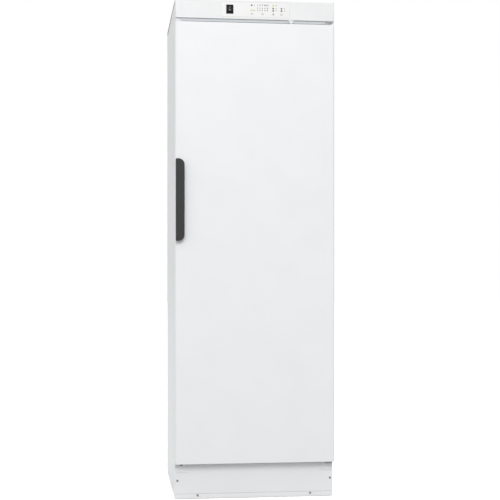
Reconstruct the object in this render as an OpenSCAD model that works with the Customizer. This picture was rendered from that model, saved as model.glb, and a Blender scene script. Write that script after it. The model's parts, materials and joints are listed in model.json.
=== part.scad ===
// Free-standing drying cabinet with a right-hung insulated door, folding hanger racks,
// a fan and heater above the chamber and an exhaust collar on top.
// Millimetres. X runs to the right, -Y is the front, Z is up from the floor.

/* [Casing] */
// Width of the casing
casing_w = 595; // [570:1:640]
// Depth of the casing without the door
casing_d = 592; // [560:1:640]
// Height of the casing above the floor
casing_h = 1855; // [1830:1:1950]
// Thickness of the casing sheets
sheet_t = 1.5; // [1:0.1:2]
// Thickness of an insulated side wall, outside to inside
wall_t = 30; // [26:1:34]
// Width of the rear return flange of a side panel
rear_flange_w = 15; // [10:1:24]
// Distance of the back panel from the rear edge of the sides
back_recess = 20; // [18:1:26]
// Space between the chamber's back wall and the back panel
back_space = 39; // [30:1:50]
// Height of the bottom edge of the side panels
side_clearance = 4; // [2:1:8]
// Height of the machine space above the chamber
machine_h = 212; // [200:1:230]

/* [Chamber] */
// Height of the chamber floor's underside
floor_z = 150; // [148:1:160]
// Width of the drip tray
tray_w = 460; // [380:1:480]
// Depth of the drip tray
tray_d = 400; // [340:1:420]
// Height of the drip tray's rim
tray_h = 25; // [15:1:40]

/* [Plinth] */
// Clearance under the bottom strip
strip_clearance = 2; // [1:0.5:3]
// Height of the bottom strip
strip_h = 17.7; // [16:0.1:22]
// Seam between the bottom strip and the plinth panel
plinth_seam = 0.6; // [0.4:0.1:0.9]
// Height of the plinth panel
plinth_h = 107.7; // [100:0.1:110]
// Height of the plinth's side screws above the panel's lower edge
plinth_screw_rise = 49.7; // [30:0.1:70]
// Distance of the plinth's side screws from the casing's edge
plinth_screw_inset = 10; // [8:1:16]
// Distance between the bottom strip's screws
strip_screw_span = 424; // [300:1:480]

/* [Door] */
// How far the door stands out past each side of the casing
door_overhang = 1.5; // [0.5:0.5:2.5]
// Thickness of the door
door_t = 34; // [33:1:38]
// Gap between the closed door and the casing front, filled by the seal
door_gap = 4; // [4:0.1:5]
// Height of the door's lower edge above the floor
door_z = 135; // [134:0.5:137]
// Radius of the door's front vertical edges
door_edge_r = 9; // [6:0.5:10]
// Thickness of the door's outer sheet
skin_t = 1.2; // [1:0.1:1.5]
// Thickness of the door's inner liner
liner_t = 4; // [3.5:0.1:4.5]
// Width of the door seal's strip
gasket_w = 9; // [7:0.5:10]
// Running gap between the seal and the casing front
gasket_clearance = 0.3; // [0.2:0.1:0.5]

/* [Handle] */
// Distance that the handle stands proud of the door
handle_proud = 22; // [20:0.5:30]
// Width of the handle plate
handle_w = 31.7; // [28:0.1:40]
// Height of the handle
handle_h = 302; // [240:1:360]
// Height of the handle's lower end above the floor
handle_z = 960; // [860:1:1060]
// Distance of the handle's outer edge from the door's edge
handle_inset = 3.3; // [2.5:0.1:4]
// Thickness of the handle plate
handle_plate_t = 5; // [4:0.5:6]
// Radius of the handle's inner corners
handle_corner_r = 22; // [10:0.5:24]
// Distance of the handle's screws from its ends
handle_screw_inset = 40; // [28:1:70]

/* [Hinges] */
// Distance of the hinge pin from the door's edge
hinge_inset = 12; // [11:0.5:13]
// Distance of the hinge pin behind the door's front
hinge_back = 18; // [17:0.5:19]
// Radius of the hinge pin
hinge_pin_r = 4; // [3:0.1:4.5]
// Radial clearance of a pin in its bush
pin_clearance = 0.05; // [0.02:0.01:0.1]
// Thickness of the hinge brackets
hinge_plate_t = 3; // [2.5:0.1:3.5]
// Width of the hinge brackets
hinge_w = 40; // [34:1:48]
// Depth of a hinge pin in the door
pin_depth = 12; // [8:1:16]

/* [Control panel] */
// Height of the control fascia
fascia_h = 72; // [68:1:80]
// How far the fascia's ends stand in from the door's edges
fascia_inset = 1; // [0:0.5:1.5]
// Gap between the door and the control fascia
fascia_gap = 13; // [12:0.5:15]
// Thickness of the fascia's wall
fascia_t = 3; // [2.5:0.1:3.5]
// Radius of the fascia's top front edge
fascia_top_r = 6; // [4:0.5:8]
// Width of the display insert
insert_w = 256; // [250:1:270]
// Height of the display insert
insert_h = 56; // [54:0.5:57]
// Height of the insert's lower edge above the fascia's lower edge
insert_rise = 8; // [7:0.5:9]
// Thickness of the display insert
insert_t = 1.5; // [1.2:0.1:1.8]
// Width of the mains switch bezel
switch_w = 26.7; // [25:0.1:28]
// Height of the mains switch bezel
switch_h = 33.5; // [32:0.1:35]
// Sideways place of the mains switch
switch_x = -95.4; // [-100:0.1:-90]
// Tilt of the rocker to either side
rocker_tilt = 7; // [5:0.5:8]
// Width of a push button
button_w = 10; // [8:0.5:12]
// Height of a push button
button_h = 6; // [5:0.5:7]
// Travel of a push button
button_travel = 1.2; // [0.8:0.1:1.5]
// Radius of an indicator lens
lens_r = 1.5; // [1:0.1:1.8]
// Width of the door switch housing at its top
tab_top_w = 21; // [18:0.5:26]
// Width of the door switch housing at its lower end
tab_low_w = 7; // [5:0.5:10]
// Sideways place of the door switch housing
tab_x = 134.5; // [120:0.5:150]

/* [Hanger racks] */
// Distance of the outermost rod from the pivot
rack_reach = 370; // [300:1:390]
// Gap between a rack arm and the side wall
rack_side_gap = 32; // [26:1:40]
// Thickness of a rack arm
arm_t = 3; // [2:0.5:4]
// Height of a rack arm
arm_h = 16; // [14:1:20]
// Number of rods on a rack
rod_count = 8; // [4:1:9]
// Radius of a rod
rod_r = 4; // [3:0.5:5]
// Radius of a rack's pivot
pivot_r = 5; // [4:0.1:6]
// Distance of the pivot from the chamber's back wall
pivot_back = 29; // [24:1:36]
// Distance of the upper rack below the ceiling
rack_drop = 50; // [40:1:60]
// Distance from one rack to the next
rack_pitch = 455; // [445:1:460]
// Gap between a lowered arm and its rest
rest_gap = 0.3; // [0.2:0.1:0.5]

/* [Glove pegs] */
// Length of a glove peg
peg_l = 35; // [25:1:40]
// Radius of a glove peg
peg_r = 4; // [3:0.5:5]
// Number of pegs on a rail
peg_count = 8; // [5:1:9]
// Length of a peg rail
rail_l = 440; // [400:1:460]
// Height of the lower peg rail
rail_low_z = 850; // [800:1:870]
// Distance between the peg rails
rail_pitch = 100; // [60:1:130]

/* [Fan and heater] */
// Radius of the fan's scroll
scroll_r = 118; // [112:1:122]
// Height of the fan's scroll
scroll_h = 75; // [70:1:84]
// Radius of the fan wheel
wheel_r = 90; // [84:1:96]
// Height of the fan wheel's blades
blade_h = 44; // [34:1:48]
// Number of blades on the fan wheel
blade_count = 28; // [12:1:32]
// Radius of the fan's air inlet
inlet_r = 70; // [62:1:76]
// Radius of the fan motor
motor_r = 42; // [34:1:50]
// Height of the fan motor
motor_h = 62; // [50:1:80]
// Radius of the fan shaft
shaft_r = 4; // [3:0.1:5]
// Length of the heater duct
heater_l = 160; // [150:1:180]
// Outer radius of the exhaust collar
collar_r = 49.5; // [45:0.5:52]
// Height of the exhaust collar above the casing
collar_h = 35; // [33:1:60]

/* [Feet and fixings] */
// Radius of a foot's pad
foot_r = 20; // [16:1:24]
// Height of a foot's pad
foot_h = 8; // [6:1:10]
// Radius of a foot's threaded rod
foot_rod_r = 5; // [4:0.5:6]
// Distance of the feet from the casing's sides
foot_inset_x = 42; // [38:1:60]
// Distance of the feet from the casing's front and back
foot_inset_y = 41; // [38:1:60]
// Height of the base plate
base_z = 34; // [32:1:40]
// Radius of a screw head
screw_r = 4; // [3:0.1:4.5]
// Distance between the wall brackets' holes
wall_hole_span = 400; // [300:1:480]
// Radius of the wall brackets' holes
wall_hole_r = 3.5; // [2.5:0.1:4]
// Radius of the cord gland's bore
gland_bore_r = 4; // [3:0.1:5]

/* [Hidden] */
$fn = 64;

// Colours
white_paint = [0.93, 0.93, 0.93];
white_plastic = [0.95, 0.95, 0.94];
dark_plastic = [0.26, 0.26, 0.27];
black_plastic = [0.06, 0.06, 0.07];
steel = [0.72, 0.73, 0.75];
zinc = [0.78, 0.79, 0.8];
foam = [0.88, 0.84, 0.7];
wool = [0.8, 0.75, 0.55];
pale_rubber = [0.82, 0.82, 0.81];
board_green = [0.12, 0.38, 0.22];
lens_grey = [0.3, 0.31, 0.3];

// Small clearances, and the overlap that makes two forms of one piece join
fit_gap = 0.2;
hole_gap = 0.1;
seat_gap = 0.3;
eps = 0.01;

// Depth positions
total_d = handle_proud + door_t + door_gap + casing_d;
rear_y = total_d / 2;
front_y = rear_y - casing_d;
door_back_y = front_y - door_gap;
door_front_y = door_back_y - door_t;
handle_front_y = door_front_y - handle_proud;
plinth_front_y = front_y - sheet_t;
back_panel_y = rear_y - back_recess;
back_wall_y = back_panel_y - sheet_t - back_space - sheet_t;
middle_y = (front_y + back_wall_y) / 2;

// Widths
half_w = casing_w / 2;
inside_x = half_w - sheet_t;
chamber_x = half_w - wall_t;
door_w = casing_w + 2 * door_overhang;
fascia_w = door_w - 2 * fascia_inset;

// Heights
roof_z = casing_h - sheet_t;
ceiling_top_z = roof_z - machine_h;
ceiling_z = ceiling_top_z - sheet_t;
floor_top_z = floor_z + sheet_t;
strip_top_z = strip_clearance + strip_h;
plinth_z = strip_top_z + plinth_seam;
fascia_z = casing_h - fascia_h;
door_top_z = fascia_z - fascia_gap;
door_h = door_top_z - door_z;

// Drip tray's sheet
tray_t = 2;

// Door hinge axis, bushes and brackets
hinge_x = door_w / 2 - hinge_inset;
hinge_y = door_front_y + hinge_back;
hinge_right_x = door_w / 2 - 6;
hinge_left_x = hinge_right_x - hinge_w;
hinge_nose = 12;
bush_r = hinge_pin_r + 2;
bush_flange_r = bush_r + 2;
bush_flange_h = 1.5;
bush_h = pin_depth + 2;
upper_leg_h = 52;
upper_plate_z = door_top_z + 6;
lower_plate_z = door_z - bush_flange_h - 2 - hinge_plate_t;
lower_leg_z = lower_plate_z - 28;
leg_screw_inset = 9;
leg_screw_z = lower_leg_z + 10;
blank_hole_r = 2.5;

// Door corner cap, filling and seal
cap_w = 27;
cap_flat = 5;
cap_h = fascia_gap - 3;
foam_inset = 27;
gasket_inner_x = chamber_x + 1.5;
gasket_low_z = door_z + 3;
gasket_high_z = ceiling_top_z + 22.5;

// Handle
handle_left_x = -door_w / 2 + handle_inset;
handle_stem_t = 5.5;
handle_base_t = 3;
handle_base_right_x = handle_left_x + handle_w - 6;
handle_outer_r = 2;
handle_screw_x = -door_w / 2 + door_edge_r + 6;
handle_screw_r = 2.5;
handle_screw_zs = [handle_z + handle_screw_inset, handle_z + handle_h - handle_screw_inset];
handle_screw_head_h = 2.2;

// Display insert, mains switch, buttons and indicators
insert_z = fascia_z + insert_rise;
insert_gap = 0.3;
insert_ledge = 5;
switch_z = insert_z + 27.3;
switch_flange_t = 1.5;
switch_lip = 2.3;
switch_wall = 2.2;
switch_depth = 22;
rocker_y = door_front_y + 5;
rocker_gap = 0.6;
rocker_round = 0.9;
rocker_waist = 4.6;
rocker_face = 6.4;
rocker_back = 5;
rocker_pin_r = 1.5;
rocker_pin_l = 1.6;
button_xs = [-13.7, 26.9, 66.6, 97.8];
button_z = insert_z + 12.7;
button_proud = 0.8;
button_gap = 0.25;
button_rim = 1.5;
button_rim_t = 1;
stem_r = 2;
lens_zs = [insert_z + 44, insert_z + 33.5, insert_z + 25.2];
lens_places = [[-13.7, 0], [-13.7, 2], [66.6, 0], [66.6, 1], [66.6, 2], [97.8, 1], [97.8, 2]];
lens_proud = 0.3;
board_t = 1.6;
board_back = 14;
board_left_x = -50;
board_right_x = 112;
board_post_r = 2.2;
tact_w = 6;
tact_h = 3.5;
relay_places = [[-36, 12], [-2, 12]];
relay_size = [20, 14, 18];
terminal_place = [60, 8];
terminal_size = [40, 8, 8];
capacitor_place = [40, 38];
capacitor_r = 6;
capacitor_h = 13;
tab_depth = 7;
tab_setback = 1;
tab_gap = 0.5;

// Racks
arm_x = chamber_x - rack_side_gap - arm_t;
pivot_y = back_wall_y - pivot_back;
arm_tail = 12;
arm_nose = 12;
first_rod_gap = 40;
bracket_t = 3;
bracket_gap = 5;
bracket_h = 34;
bracket_nose = 12;
stub_over = 3;
rest_r = 4;
rest_back = 25;
rack_high_z = ceiling_z - rack_drop;
rack_middle_z = rack_high_z - rack_pitch;
rack_low_z = rack_middle_z - rack_pitch;
rack_zs = [rack_high_z, rack_middle_z, rack_low_z];

// Glove pegs
rail_t = 3;
rail_h = 20;
peg_margin = 20;

// Fan, heater and exhaust
duct_t = 1.5;
fan_forward = 29;
fan_x = -110;
fan_y = middle_y - fan_forward;
outlet_w = 95;
outlet_x = fan_x + scroll_r + 8;
outlet_y = fan_y - scroll_r;
scroll_top_z = ceiling_top_z + scroll_h;
wheel_z = ceiling_top_z + 12;
wheel_plate_t = 2;
wheel_ring_t = 1.5;
blade_l = 20;
blade_t = 1.2;
blade_angle = 35;
hub_r = 12;
hub_h = 18;
motor_arm_h = 8;
motor_arm_w = 14;
motor_arm_over = 12;
motor_z = scroll_top_z + motor_arm_h;
shaft_depth = 38;
slot_count = 8;
slot_start = 25;
slot_w = 7;
slot_l = 76;
heater_tube_r = 4;
heater_tube_z = ceiling_top_z + 36;
fin_t = 1;
fin_count = 8;
fin_margin = 12;
fin_end = 8;
heater_start = 12;
fin_h = 30;
collar_t = 1.5;
collar_x = 120;
collar_back = 94;
collar_y = back_wall_y - collar_back;
collar_flange = 9;
collar_step = 0.5;

// Screw heads
screw_head_h = 2;
cross_w = 1;
cross_l = 1.2 * screw_r;
strip_screw_z = strip_top_z - screw_r - 1.2;
back_screw_end = 60;
back_screw_inset = 12;

// Feet
base_t = 2;
foot_hex_h = 6;
foot_hex_r = 10;
foot_boss_h = 10;
foot_boss_r = foot_rod_r + 4;
foot_rod_top_z = base_z + base_t + foot_boss_h + 8;
foot_places = [
    [-half_w + foot_inset_x, front_y + foot_inset_y],
    [half_w - foot_inset_x, front_y + foot_inset_y],
    [half_w - foot_inset_x, back_panel_y - foot_inset_y],
    [-half_w + foot_inset_x, back_panel_y - foot_inset_y]
];

// Rear and top fittings
gland_x = -180;
gland_z = ceiling_top_z + 60;
gland_r = 9;
gland_nut_r = 13;
gland_nut_h = 3;
gland_out = 12;
gland_in = 10;
wall_plate_t = 2;
wall_plate_w = 30;
wall_plate_l = 30;
wall_hole_rise = 18;
vent_count = 8;
vent_l = 120;
vent_h = 6;
vent_pitch = 14;
vent_z = ceiling_top_z + 60;

// Block between two opposite corners
module block(low, high) {
    translate(low)
        cube(high - low);
}

// Cylinder along Y that starts at y
module rod_y(x, y, z, r, l) {
    translate([x, y, z])
        rotate([-90, 0, 0])
            cylinder(r = r, h = l);
}

// Cylinder along X that starts at x
module rod_x(x, y, z, r, l) {
    translate([x, y, z])
        rotate([0, 90, 0])
            cylinder(r = r, h = l);
}

// Outline centred on X from y0 to y1, with its two corners at y0 rounded
module rounded_outline(w, y0, y1, r) {
    translate([-w / 2, y0 + r])
        square([w, y1 - y0 - r]);
    translate([-w / 2 + r, y0])
        square([w - 2 * r, r + eps]);
    intersection() {
        translate([-w / 2, y0])
            square([w, y1 - y0]);
        for (side = [-1, 1])
            translate([side * (w / 2 - r), y0 + r])
                circle(r = r);
    }
}

// Side panel on the side given by -1 or 1: a sheet with a front and a rear flange
module side_panel(side) {
    outer = side * half_w;
    color(white_paint)
        translate([0, 0, side_clearance])
            linear_extrude(roof_z - side_clearance)
                polygon([
                    [outer, front_y],
                    [outer, rear_y],
                    [outer - side * rear_flange_w, rear_y],
                    [outer - side * rear_flange_w, rear_y - sheet_t],
                    [side * inside_x, rear_y - sheet_t],
                    [side * inside_x, front_y + sheet_t],
                    [side * chamber_x, front_y + sheet_t],
                    [side * chamber_x, front_y]
                ]);
}

// Back panel with the air inlet's slots and the hole for the cord gland
module back_panel() {
    color(zinc)
        difference() {
            block([-inside_x, back_panel_y - sheet_t, base_z], [inside_x, back_panel_y, roof_z]);
            for (i = [0 : vent_count - 1])
                block([-vent_l / 2, back_panel_y - sheet_t - 1, vent_z + i * vent_pitch],
                      [vent_l / 2, back_panel_y + 1, vent_z + i * vent_pitch + vent_h]);
            rod_y(gland_x, back_panel_y - sheet_t - 1, gland_z, gland_r + hole_gap, sheet_t + 2);
        }
}

// Top cover with the hole for the exhaust collar
module top_cover() {
    color(white_paint)
        difference() {
            block([-half_w, front_y, roof_z], [half_w, rear_y, casing_h]);
            translate([collar_x, collar_y, roof_z - 1])
                cylinder(r = collar_r, h = sheet_t + 2);
        }
}

// Base plate with a threaded boss over each foot
module base_plate() {
    color(zinc)
        difference() {
            union() {
                block([-inside_x, front_y + sheet_t, base_z],
                      [inside_x, back_panel_y - sheet_t, base_z + base_t]);
                for (place = foot_places)
                    translate([place[0], place[1], base_z])
                        cylinder(r = foot_boss_r, h = base_t + foot_boss_h);
            }
            for (place = foot_places)
                translate([place[0], place[1], base_z - 1])
                    cylinder(r = foot_rod_r + pin_clearance, h = base_t + foot_boss_h + 2);
        }
}

module plinth_panel() {
    color(white_paint)
        block([-half_w, plinth_front_y, plinth_z], [half_w, front_y, plinth_z + plinth_h]);
}

module bottom_strip() {
    color(white_paint)
        block([-half_w, plinth_front_y, strip_clearance], [half_w, front_y, strip_top_z]);
}

// Pan head of a screw on a face at y that looks to the front (1) or to the rear (-1)
module screw_head(x, y, z, facing) {
    translate([x, y, z])
        rotate([facing * 90, 0, 0])
            difference() {
                cylinder(r = screw_r, h = screw_head_h);
                for (turn = [0, 90])
                    rotate([0, 0, turn])
                        translate([-cross_l / 2, -cross_w / 2, screw_head_h / 2])
                            cube([cross_l, cross_w, screw_head_h]);
            }
}

module casing_screws() {
    color(steel)
        for (side = [-1, 1]) {
            screw_head(side * (half_w - plinth_screw_inset), plinth_front_y,
                       plinth_z + plinth_screw_rise, 1);
            screw_head(side * strip_screw_span / 2, plinth_front_y, strip_screw_z, 1);
            for (z = [base_z + back_screw_end, casing_h / 2, roof_z - back_screw_end])
                screw_head(side * (inside_x - back_screw_inset), back_panel_y, z, -1);
            for (x = [hinge_left_x + leg_screw_inset, hinge_right_x - leg_screw_inset])
                screw_head(side * x, plinth_front_y - hinge_plate_t, leg_screw_z, 1);
        }
}

// Cross rails between the front flanges of the side panels
module front_rail_top() {
    color(white_paint)
        block([-chamber_x, front_y, ceiling_z], [chamber_x, front_y + sheet_t, roof_z]);
}

module front_sill() {
    color(white_paint)
        block([-chamber_x, front_y, base_z], [chamber_x, front_y + sheet_t, floor_top_z]);
}

module inner_side_walls() {
    color(white_paint)
        for (x = [-chamber_x - sheet_t, chamber_x])
            block([x, front_y + sheet_t, floor_z],
                  [x + sheet_t, back_wall_y + sheet_t, ceiling_top_z]);
}

module inner_back_wall() {
    color(white_paint)
        block([-chamber_x, back_wall_y, floor_z],
              [chamber_x, back_wall_y + sheet_t, ceiling_top_z]);
}

module chamber_floor() {
    color(white_paint)
        block([-chamber_x, front_y + sheet_t, floor_z], [chamber_x, back_wall_y, floor_top_z]);
}

// Chamber ceiling with the warm air's slots under the heater duct and the exhaust hole
module chamber_ceiling() {
    slot_y = outlet_y + (outlet_w - slot_l) / 2;
    color(white_paint)
        difference() {
            block([-chamber_x, front_y + sheet_t, ceiling_z],
                  [chamber_x, back_wall_y, ceiling_top_z]);
            for (i = [0 : slot_count - 1])
                translate([outlet_x + slot_start + i * 2 * slot_w, slot_y, ceiling_z - 1])
                    cube([slot_w, slot_l, sheet_t + 2]);
            translate([collar_x, collar_y, ceiling_z - 1])
                cylinder(r = collar_r - collar_t, h = sheet_t + 2);
        }
}

// Insulation slabs inside the two side walls and behind the chamber
module wall_insulation() {
    rear = back_panel_y - sheet_t - fit_gap;
    inner = chamber_x + sheet_t + fit_gap;
    outer = inside_x - fit_gap;
    color(wool) {
        block([-outer, front_y + sheet_t + fit_gap, floor_z], [-inner, rear, ceiling_z]);
        block([inner, front_y + sheet_t + fit_gap, floor_z], [outer, rear, ceiling_z]);
        block([-chamber_x, back_wall_y + sheet_t + fit_gap, floor_z], [chamber_x, rear, ceiling_z]);
    }
}

module drip_tray() {
    color(steel)
        difference() {
            block([-tray_w / 2, middle_y - tray_d / 2, floor_top_z],
                  [tray_w / 2, middle_y + tray_d / 2, floor_top_z + tray_h]);
            block([-tray_w / 2 + tray_t, middle_y - tray_d / 2 + tray_t, floor_top_z + tray_t],
                  [tray_w / 2 - tray_t, middle_y + tray_d / 2 - tray_t, floor_top_z + tray_h + 1]);
        }
}

// Form of the fascia, drawn in by inset, from its front to y1
module fascia_form(inset, y1) {
    r_top = fascia_top_r - inset;
    y0 = door_front_y + inset;
    z0 = fascia_z + inset;
    z1 = casing_h - inset;
    intersection() {
        translate([0, 0, z0])
            linear_extrude(z1 - z0)
                rounded_outline(fascia_w - 2 * inset, y0, y1, door_edge_r - inset);
        rotate([90, 0, 90])
            translate([0, 0, -fascia_w / 2])
                linear_extrude(fascia_w)
                    union() {
                        translate([y0, z0])
                            square([y1 - y0, z1 - z0 - r_top]);
                        translate([y0 + r_top, z0])
                            square([y1 - y0 - r_top, z1 - z0]);
                        translate([y0 + r_top, z1 - r_top])
                            circle(r = r_top);
                    }
    }
}

// Posts inside the fascia that carry the control board
module board_posts() {
    for (x = [board_left_x + 6, board_right_x - 6])
        for (z = [insert_z + insert_ledge / 2, insert_z + insert_h - insert_ledge / 2])
            rod_y(x, door_front_y + insert_t, z, board_post_r, board_back - insert_t);
}

module control_fascia() {
    window_x = insert_w / 2;
    open_x = window_x - insert_ledge;
    color(white_plastic)
        difference() {
            fascia_form(0, front_y);
            difference() {
                fascia_form(fascia_t, front_y + 1);
                board_posts();
            }
            block([-window_x, door_front_y - 1, insert_z],
                  [window_x, door_front_y + insert_t, insert_z + insert_h]);
            block([-open_x, door_front_y - 1, insert_z + insert_ledge],
                  [open_x, door_front_y + fascia_t + 1, insert_z + insert_h - insert_ledge]);
            block([hinge_left_x - 1, front_y - hinge_plate_t - 1, fascia_z - 1],
                  [hinge_right_x + 1, front_y + 1, fascia_z + fascia_t + 1]);
        }
}

// Display insert with the cut-outs for the switch, the buttons and the indicators
module display_insert() {
    cut_l = insert_t + 2;
    body_w = switch_w - 2 * switch_lip + 2 * insert_gap;
    body_h = switch_h - 2 * switch_lip + 2 * insert_gap;
    color(white_plastic)
        difference() {
            block([-insert_w / 2 + insert_gap, door_front_y, insert_z + insert_gap],
                  [insert_w / 2 - insert_gap, door_front_y + insert_t, insert_z + insert_h - insert_gap]);
            translate([switch_x - body_w / 2, door_front_y - 1, switch_z - body_h / 2])
                cube([body_w, cut_l, body_h]);
            for (x = button_xs)
                translate([x - button_w / 2 - button_gap, door_front_y - 1,
                           button_z - button_h / 2 - button_gap])
                    cube([button_w + 2 * button_gap, cut_l, button_h + 2 * button_gap]);
            for (place = lens_places)
                rod_y(place[0], door_front_y - 1, lens_zs[place[1]], lens_r + hole_gap, cut_l);
        }
}

// Mains switch frame, open at the front, with the bore of the rocker's pin
module switch_bezel() {
    body_w = switch_w - 2 * switch_lip;
    body_h = switch_h - 2 * switch_lip;
    well_w = body_w - 2 * switch_wall;
    well_h = body_h - 2 * switch_wall;
    front = door_front_y - switch_flange_t;
    color(black_plastic)
        difference() {
            union() {
                translate([switch_x - switch_w / 2, front, switch_z - switch_h / 2])
                    cube([switch_w, switch_flange_t, switch_h]);
                translate([switch_x - body_w / 2, door_front_y - eps, switch_z - body_h / 2])
                    cube([body_w, switch_depth, body_h]);
            }
            translate([switch_x - well_w / 2, front - 1, switch_z - well_h / 2])
                cube([well_w, switch_depth - switch_wall, well_h]);
            rod_x(switch_x - well_w / 2 - rocker_pin_l - fit_gap, rocker_y, switch_z,
                  rocker_pin_r + pin_clearance, well_w + 2 * (rocker_pin_l + fit_gap));
        }
}

// Rocker of the mains switch, tilted to its off position
module switch_rocker() {
    well_w = switch_w - 2 * switch_lip - 2 * switch_wall;
    reach = (switch_h - 2 * switch_lip - 2 * switch_wall) / 2 - rocker_gap - rocker_round;
    rocker_w = well_w - 2 * rocker_gap;
    color(black_plastic)
        translate([switch_x, rocker_y, switch_z])
            rotate([-rocker_tilt, 0, 0]) {
                translate([-rocker_w / 2, 0, 0])
                    rotate([90, 0, 90])
                        linear_extrude(rocker_w)
                            polygon([
                                [-rocker_waist, 0], [-rocker_face, reach],
                                [-rocker_face + 2, reach + 0.3], [rocker_back - 2, reach - 3],
                                [rocker_back, 0], [rocker_back - 2, 3 - reach],
                                [-rocker_face + 2, -reach - 0.3], [-rocker_face, -reach]
                            ]);
                rod_x(-well_w / 2 - rocker_pin_l, 0, 0, rocker_pin_r, well_w + 2 * rocker_pin_l);
            }
}

module indicator_lenses() {
    color(lens_grey)
        for (place = lens_places)
            rod_y(place[0], door_front_y - lens_proud, lens_zs[place[1]], lens_r,
                  board_back + lens_proud);
}

// Push button: cap, retaining rim behind the insert, and stem to its contact
module push_button(i) {
    rim_y = door_front_y + insert_t + seat_gap;
    rim_w = button_w + 2 * button_rim;
    rim_h = button_h + 2 * button_rim;
    stem_end_y = door_front_y + board_back - tact_h - button_travel - seat_gap;
    color(white_plastic)
        translate([button_xs[i], 0, button_z]) {
            translate([-button_w / 2, door_front_y - button_proud, -button_h / 2])
                cube([button_w, rim_y - door_front_y + button_proud + eps, button_h]);
            translate([-rim_w / 2, rim_y, -rim_h / 2])
                cube([rim_w, button_rim_t, rim_h]);
            rod_y(0, rim_y, 0, stem_r, stem_end_y - rim_y);
        }
}

// Control board with a contact behind each button and the parts on its rear
module control_board() {
    front = door_front_y + board_back;
    rear = front + board_t;
    color(board_green) {
        block([board_left_x, front, insert_z], [board_right_x, rear, insert_z + insert_h]);
        for (x = button_xs)
            translate([x - tact_w / 2, front - tact_h, button_z - tact_w / 2])
                cube([tact_w, tact_h + eps, tact_w]);
        for (place = relay_places)
            translate([place[0], rear - eps, insert_z + place[1]])
                cube(relay_size);
        translate([terminal_place[0], rear - eps, insert_z + terminal_place[1]])
            cube(terminal_size);
        rod_y(capacitor_place[0], rear - eps, insert_z + capacitor_place[1], capacitor_r, capacitor_h);
    }
}

// Door switch housing: a tapered tab that closes the gap over the door
module door_switch_housing() {
    low_z = door_top_z + tab_gap;
    color(white_plastic)
        translate([tab_x, door_front_y + tab_setback + tab_depth, 0])
            rotate([90, 0, 0])
                linear_extrude(tab_depth)
                    polygon([
                        [-tab_top_w / 2, fascia_z], [-tab_low_w / 2, low_z],
                        [tab_low_w / 2, low_z], [tab_top_w / 2, fascia_z]
                    ]);
}

// Horizontal leaf of a hinge bracket between z and z + hinge_plate_t
module hinge_leaf(z, back_y) {
    block([hinge_left_x, hinge_y, z], [hinge_right_x, back_y, z + hinge_plate_t]);
    block([hinge_left_x + hinge_nose, hinge_y - hinge_nose, z],
          [hinge_right_x - hinge_pin_r, hinge_y + eps, z + hinge_plate_t]);
}

module hinge_upper() {
    color(dark_plastic) {
        hinge_leaf(upper_plate_z, front_y);
        block([hinge_left_x, front_y - hinge_plate_t, upper_plate_z],
              [hinge_right_x, front_y, upper_plate_z + upper_leg_h]);
        translate([hinge_x, hinge_y, door_top_z - pin_depth])
            cylinder(r = hinge_pin_r, h = upper_plate_z - door_top_z + pin_depth + 1);
        translate([hinge_x, hinge_y, door_top_z + bush_flange_h + seat_gap])
            cylinder(r = bush_r, h = upper_plate_z - door_top_z - bush_flange_h - seat_gap + eps);
    }
}

module hinge_lower() {
    top = lower_plate_z + hinge_plate_t;
    color(white_paint) {
        hinge_leaf(lower_plate_z, plinth_front_y);
        block([hinge_left_x, plinth_front_y - hinge_plate_t, lower_leg_z],
              [hinge_right_x, plinth_front_y, top]);
        translate([hinge_x, hinge_y, top - eps])
            cylinder(r = hinge_pin_r, h = door_z + pin_depth - top);
        translate([hinge_x, hinge_y, top - eps])
            cylinder(r = bush_r, h = door_z - bush_flange_h - seat_gap - top + eps);
    }
}

// Cover plate over the fixing holes for a left-hung door
module hinge_blank() {
    color(white_paint)
        difference() {
            block([-hinge_right_x, plinth_front_y - hinge_plate_t, lower_leg_z],
                  [-hinge_left_x, plinth_front_y, lower_plate_z + hinge_plate_t]);
            rod_y(-(hinge_left_x + hinge_right_x) / 2, plinth_front_y - hinge_plate_t - 1,
                  lower_plate_z, blank_hole_r, hinge_plate_t + 2);
        }
}

// Plan of the fan's scroll and its outlet neck, drawn in by inset
module scroll_plan(inset, neck_end) {
    circle(r = scroll_r - inset);
    translate([0, -scroll_r + inset])
        square([neck_end, outlet_w - 2 * inset]);
}

module fan_housing() {
    neck = outlet_x - fan_x;
    color(zinc)
        translate([fan_x, fan_y, ceiling_top_z])
            difference() {
                linear_extrude(scroll_h)
                    scroll_plan(0, neck);
                translate([0, 0, duct_t])
                    linear_extrude(scroll_h - 2 * duct_t)
                        scroll_plan(duct_t, neck + 1);
                translate([0, 0, scroll_h / 2])
                    cylinder(r = inlet_r, h = scroll_h);
            }
}

// Fan motor on three arms across the air inlet, with the bore of its bearing
module fan_motor() {
    arm_l = inlet_r + motor_arm_over;
    color(dark_plastic)
        translate([fan_x, fan_y, scroll_top_z])
            difference() {
                union() {
                    translate([0, 0, motor_arm_h])
                        cylinder(r = motor_r, h = motor_h);
                    for (turn = [0, 120, 240])
                        rotate([0, 0, turn])
                            translate([0, -motor_arm_w / 2, 0])
                                cube([arm_l, motor_arm_w, motor_arm_h + eps]);
                }
                translate([0, 0, -1])
                    cylinder(r = shaft_r + pin_clearance, h = motor_arm_h + shaft_depth + 3);
            }
}

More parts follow.
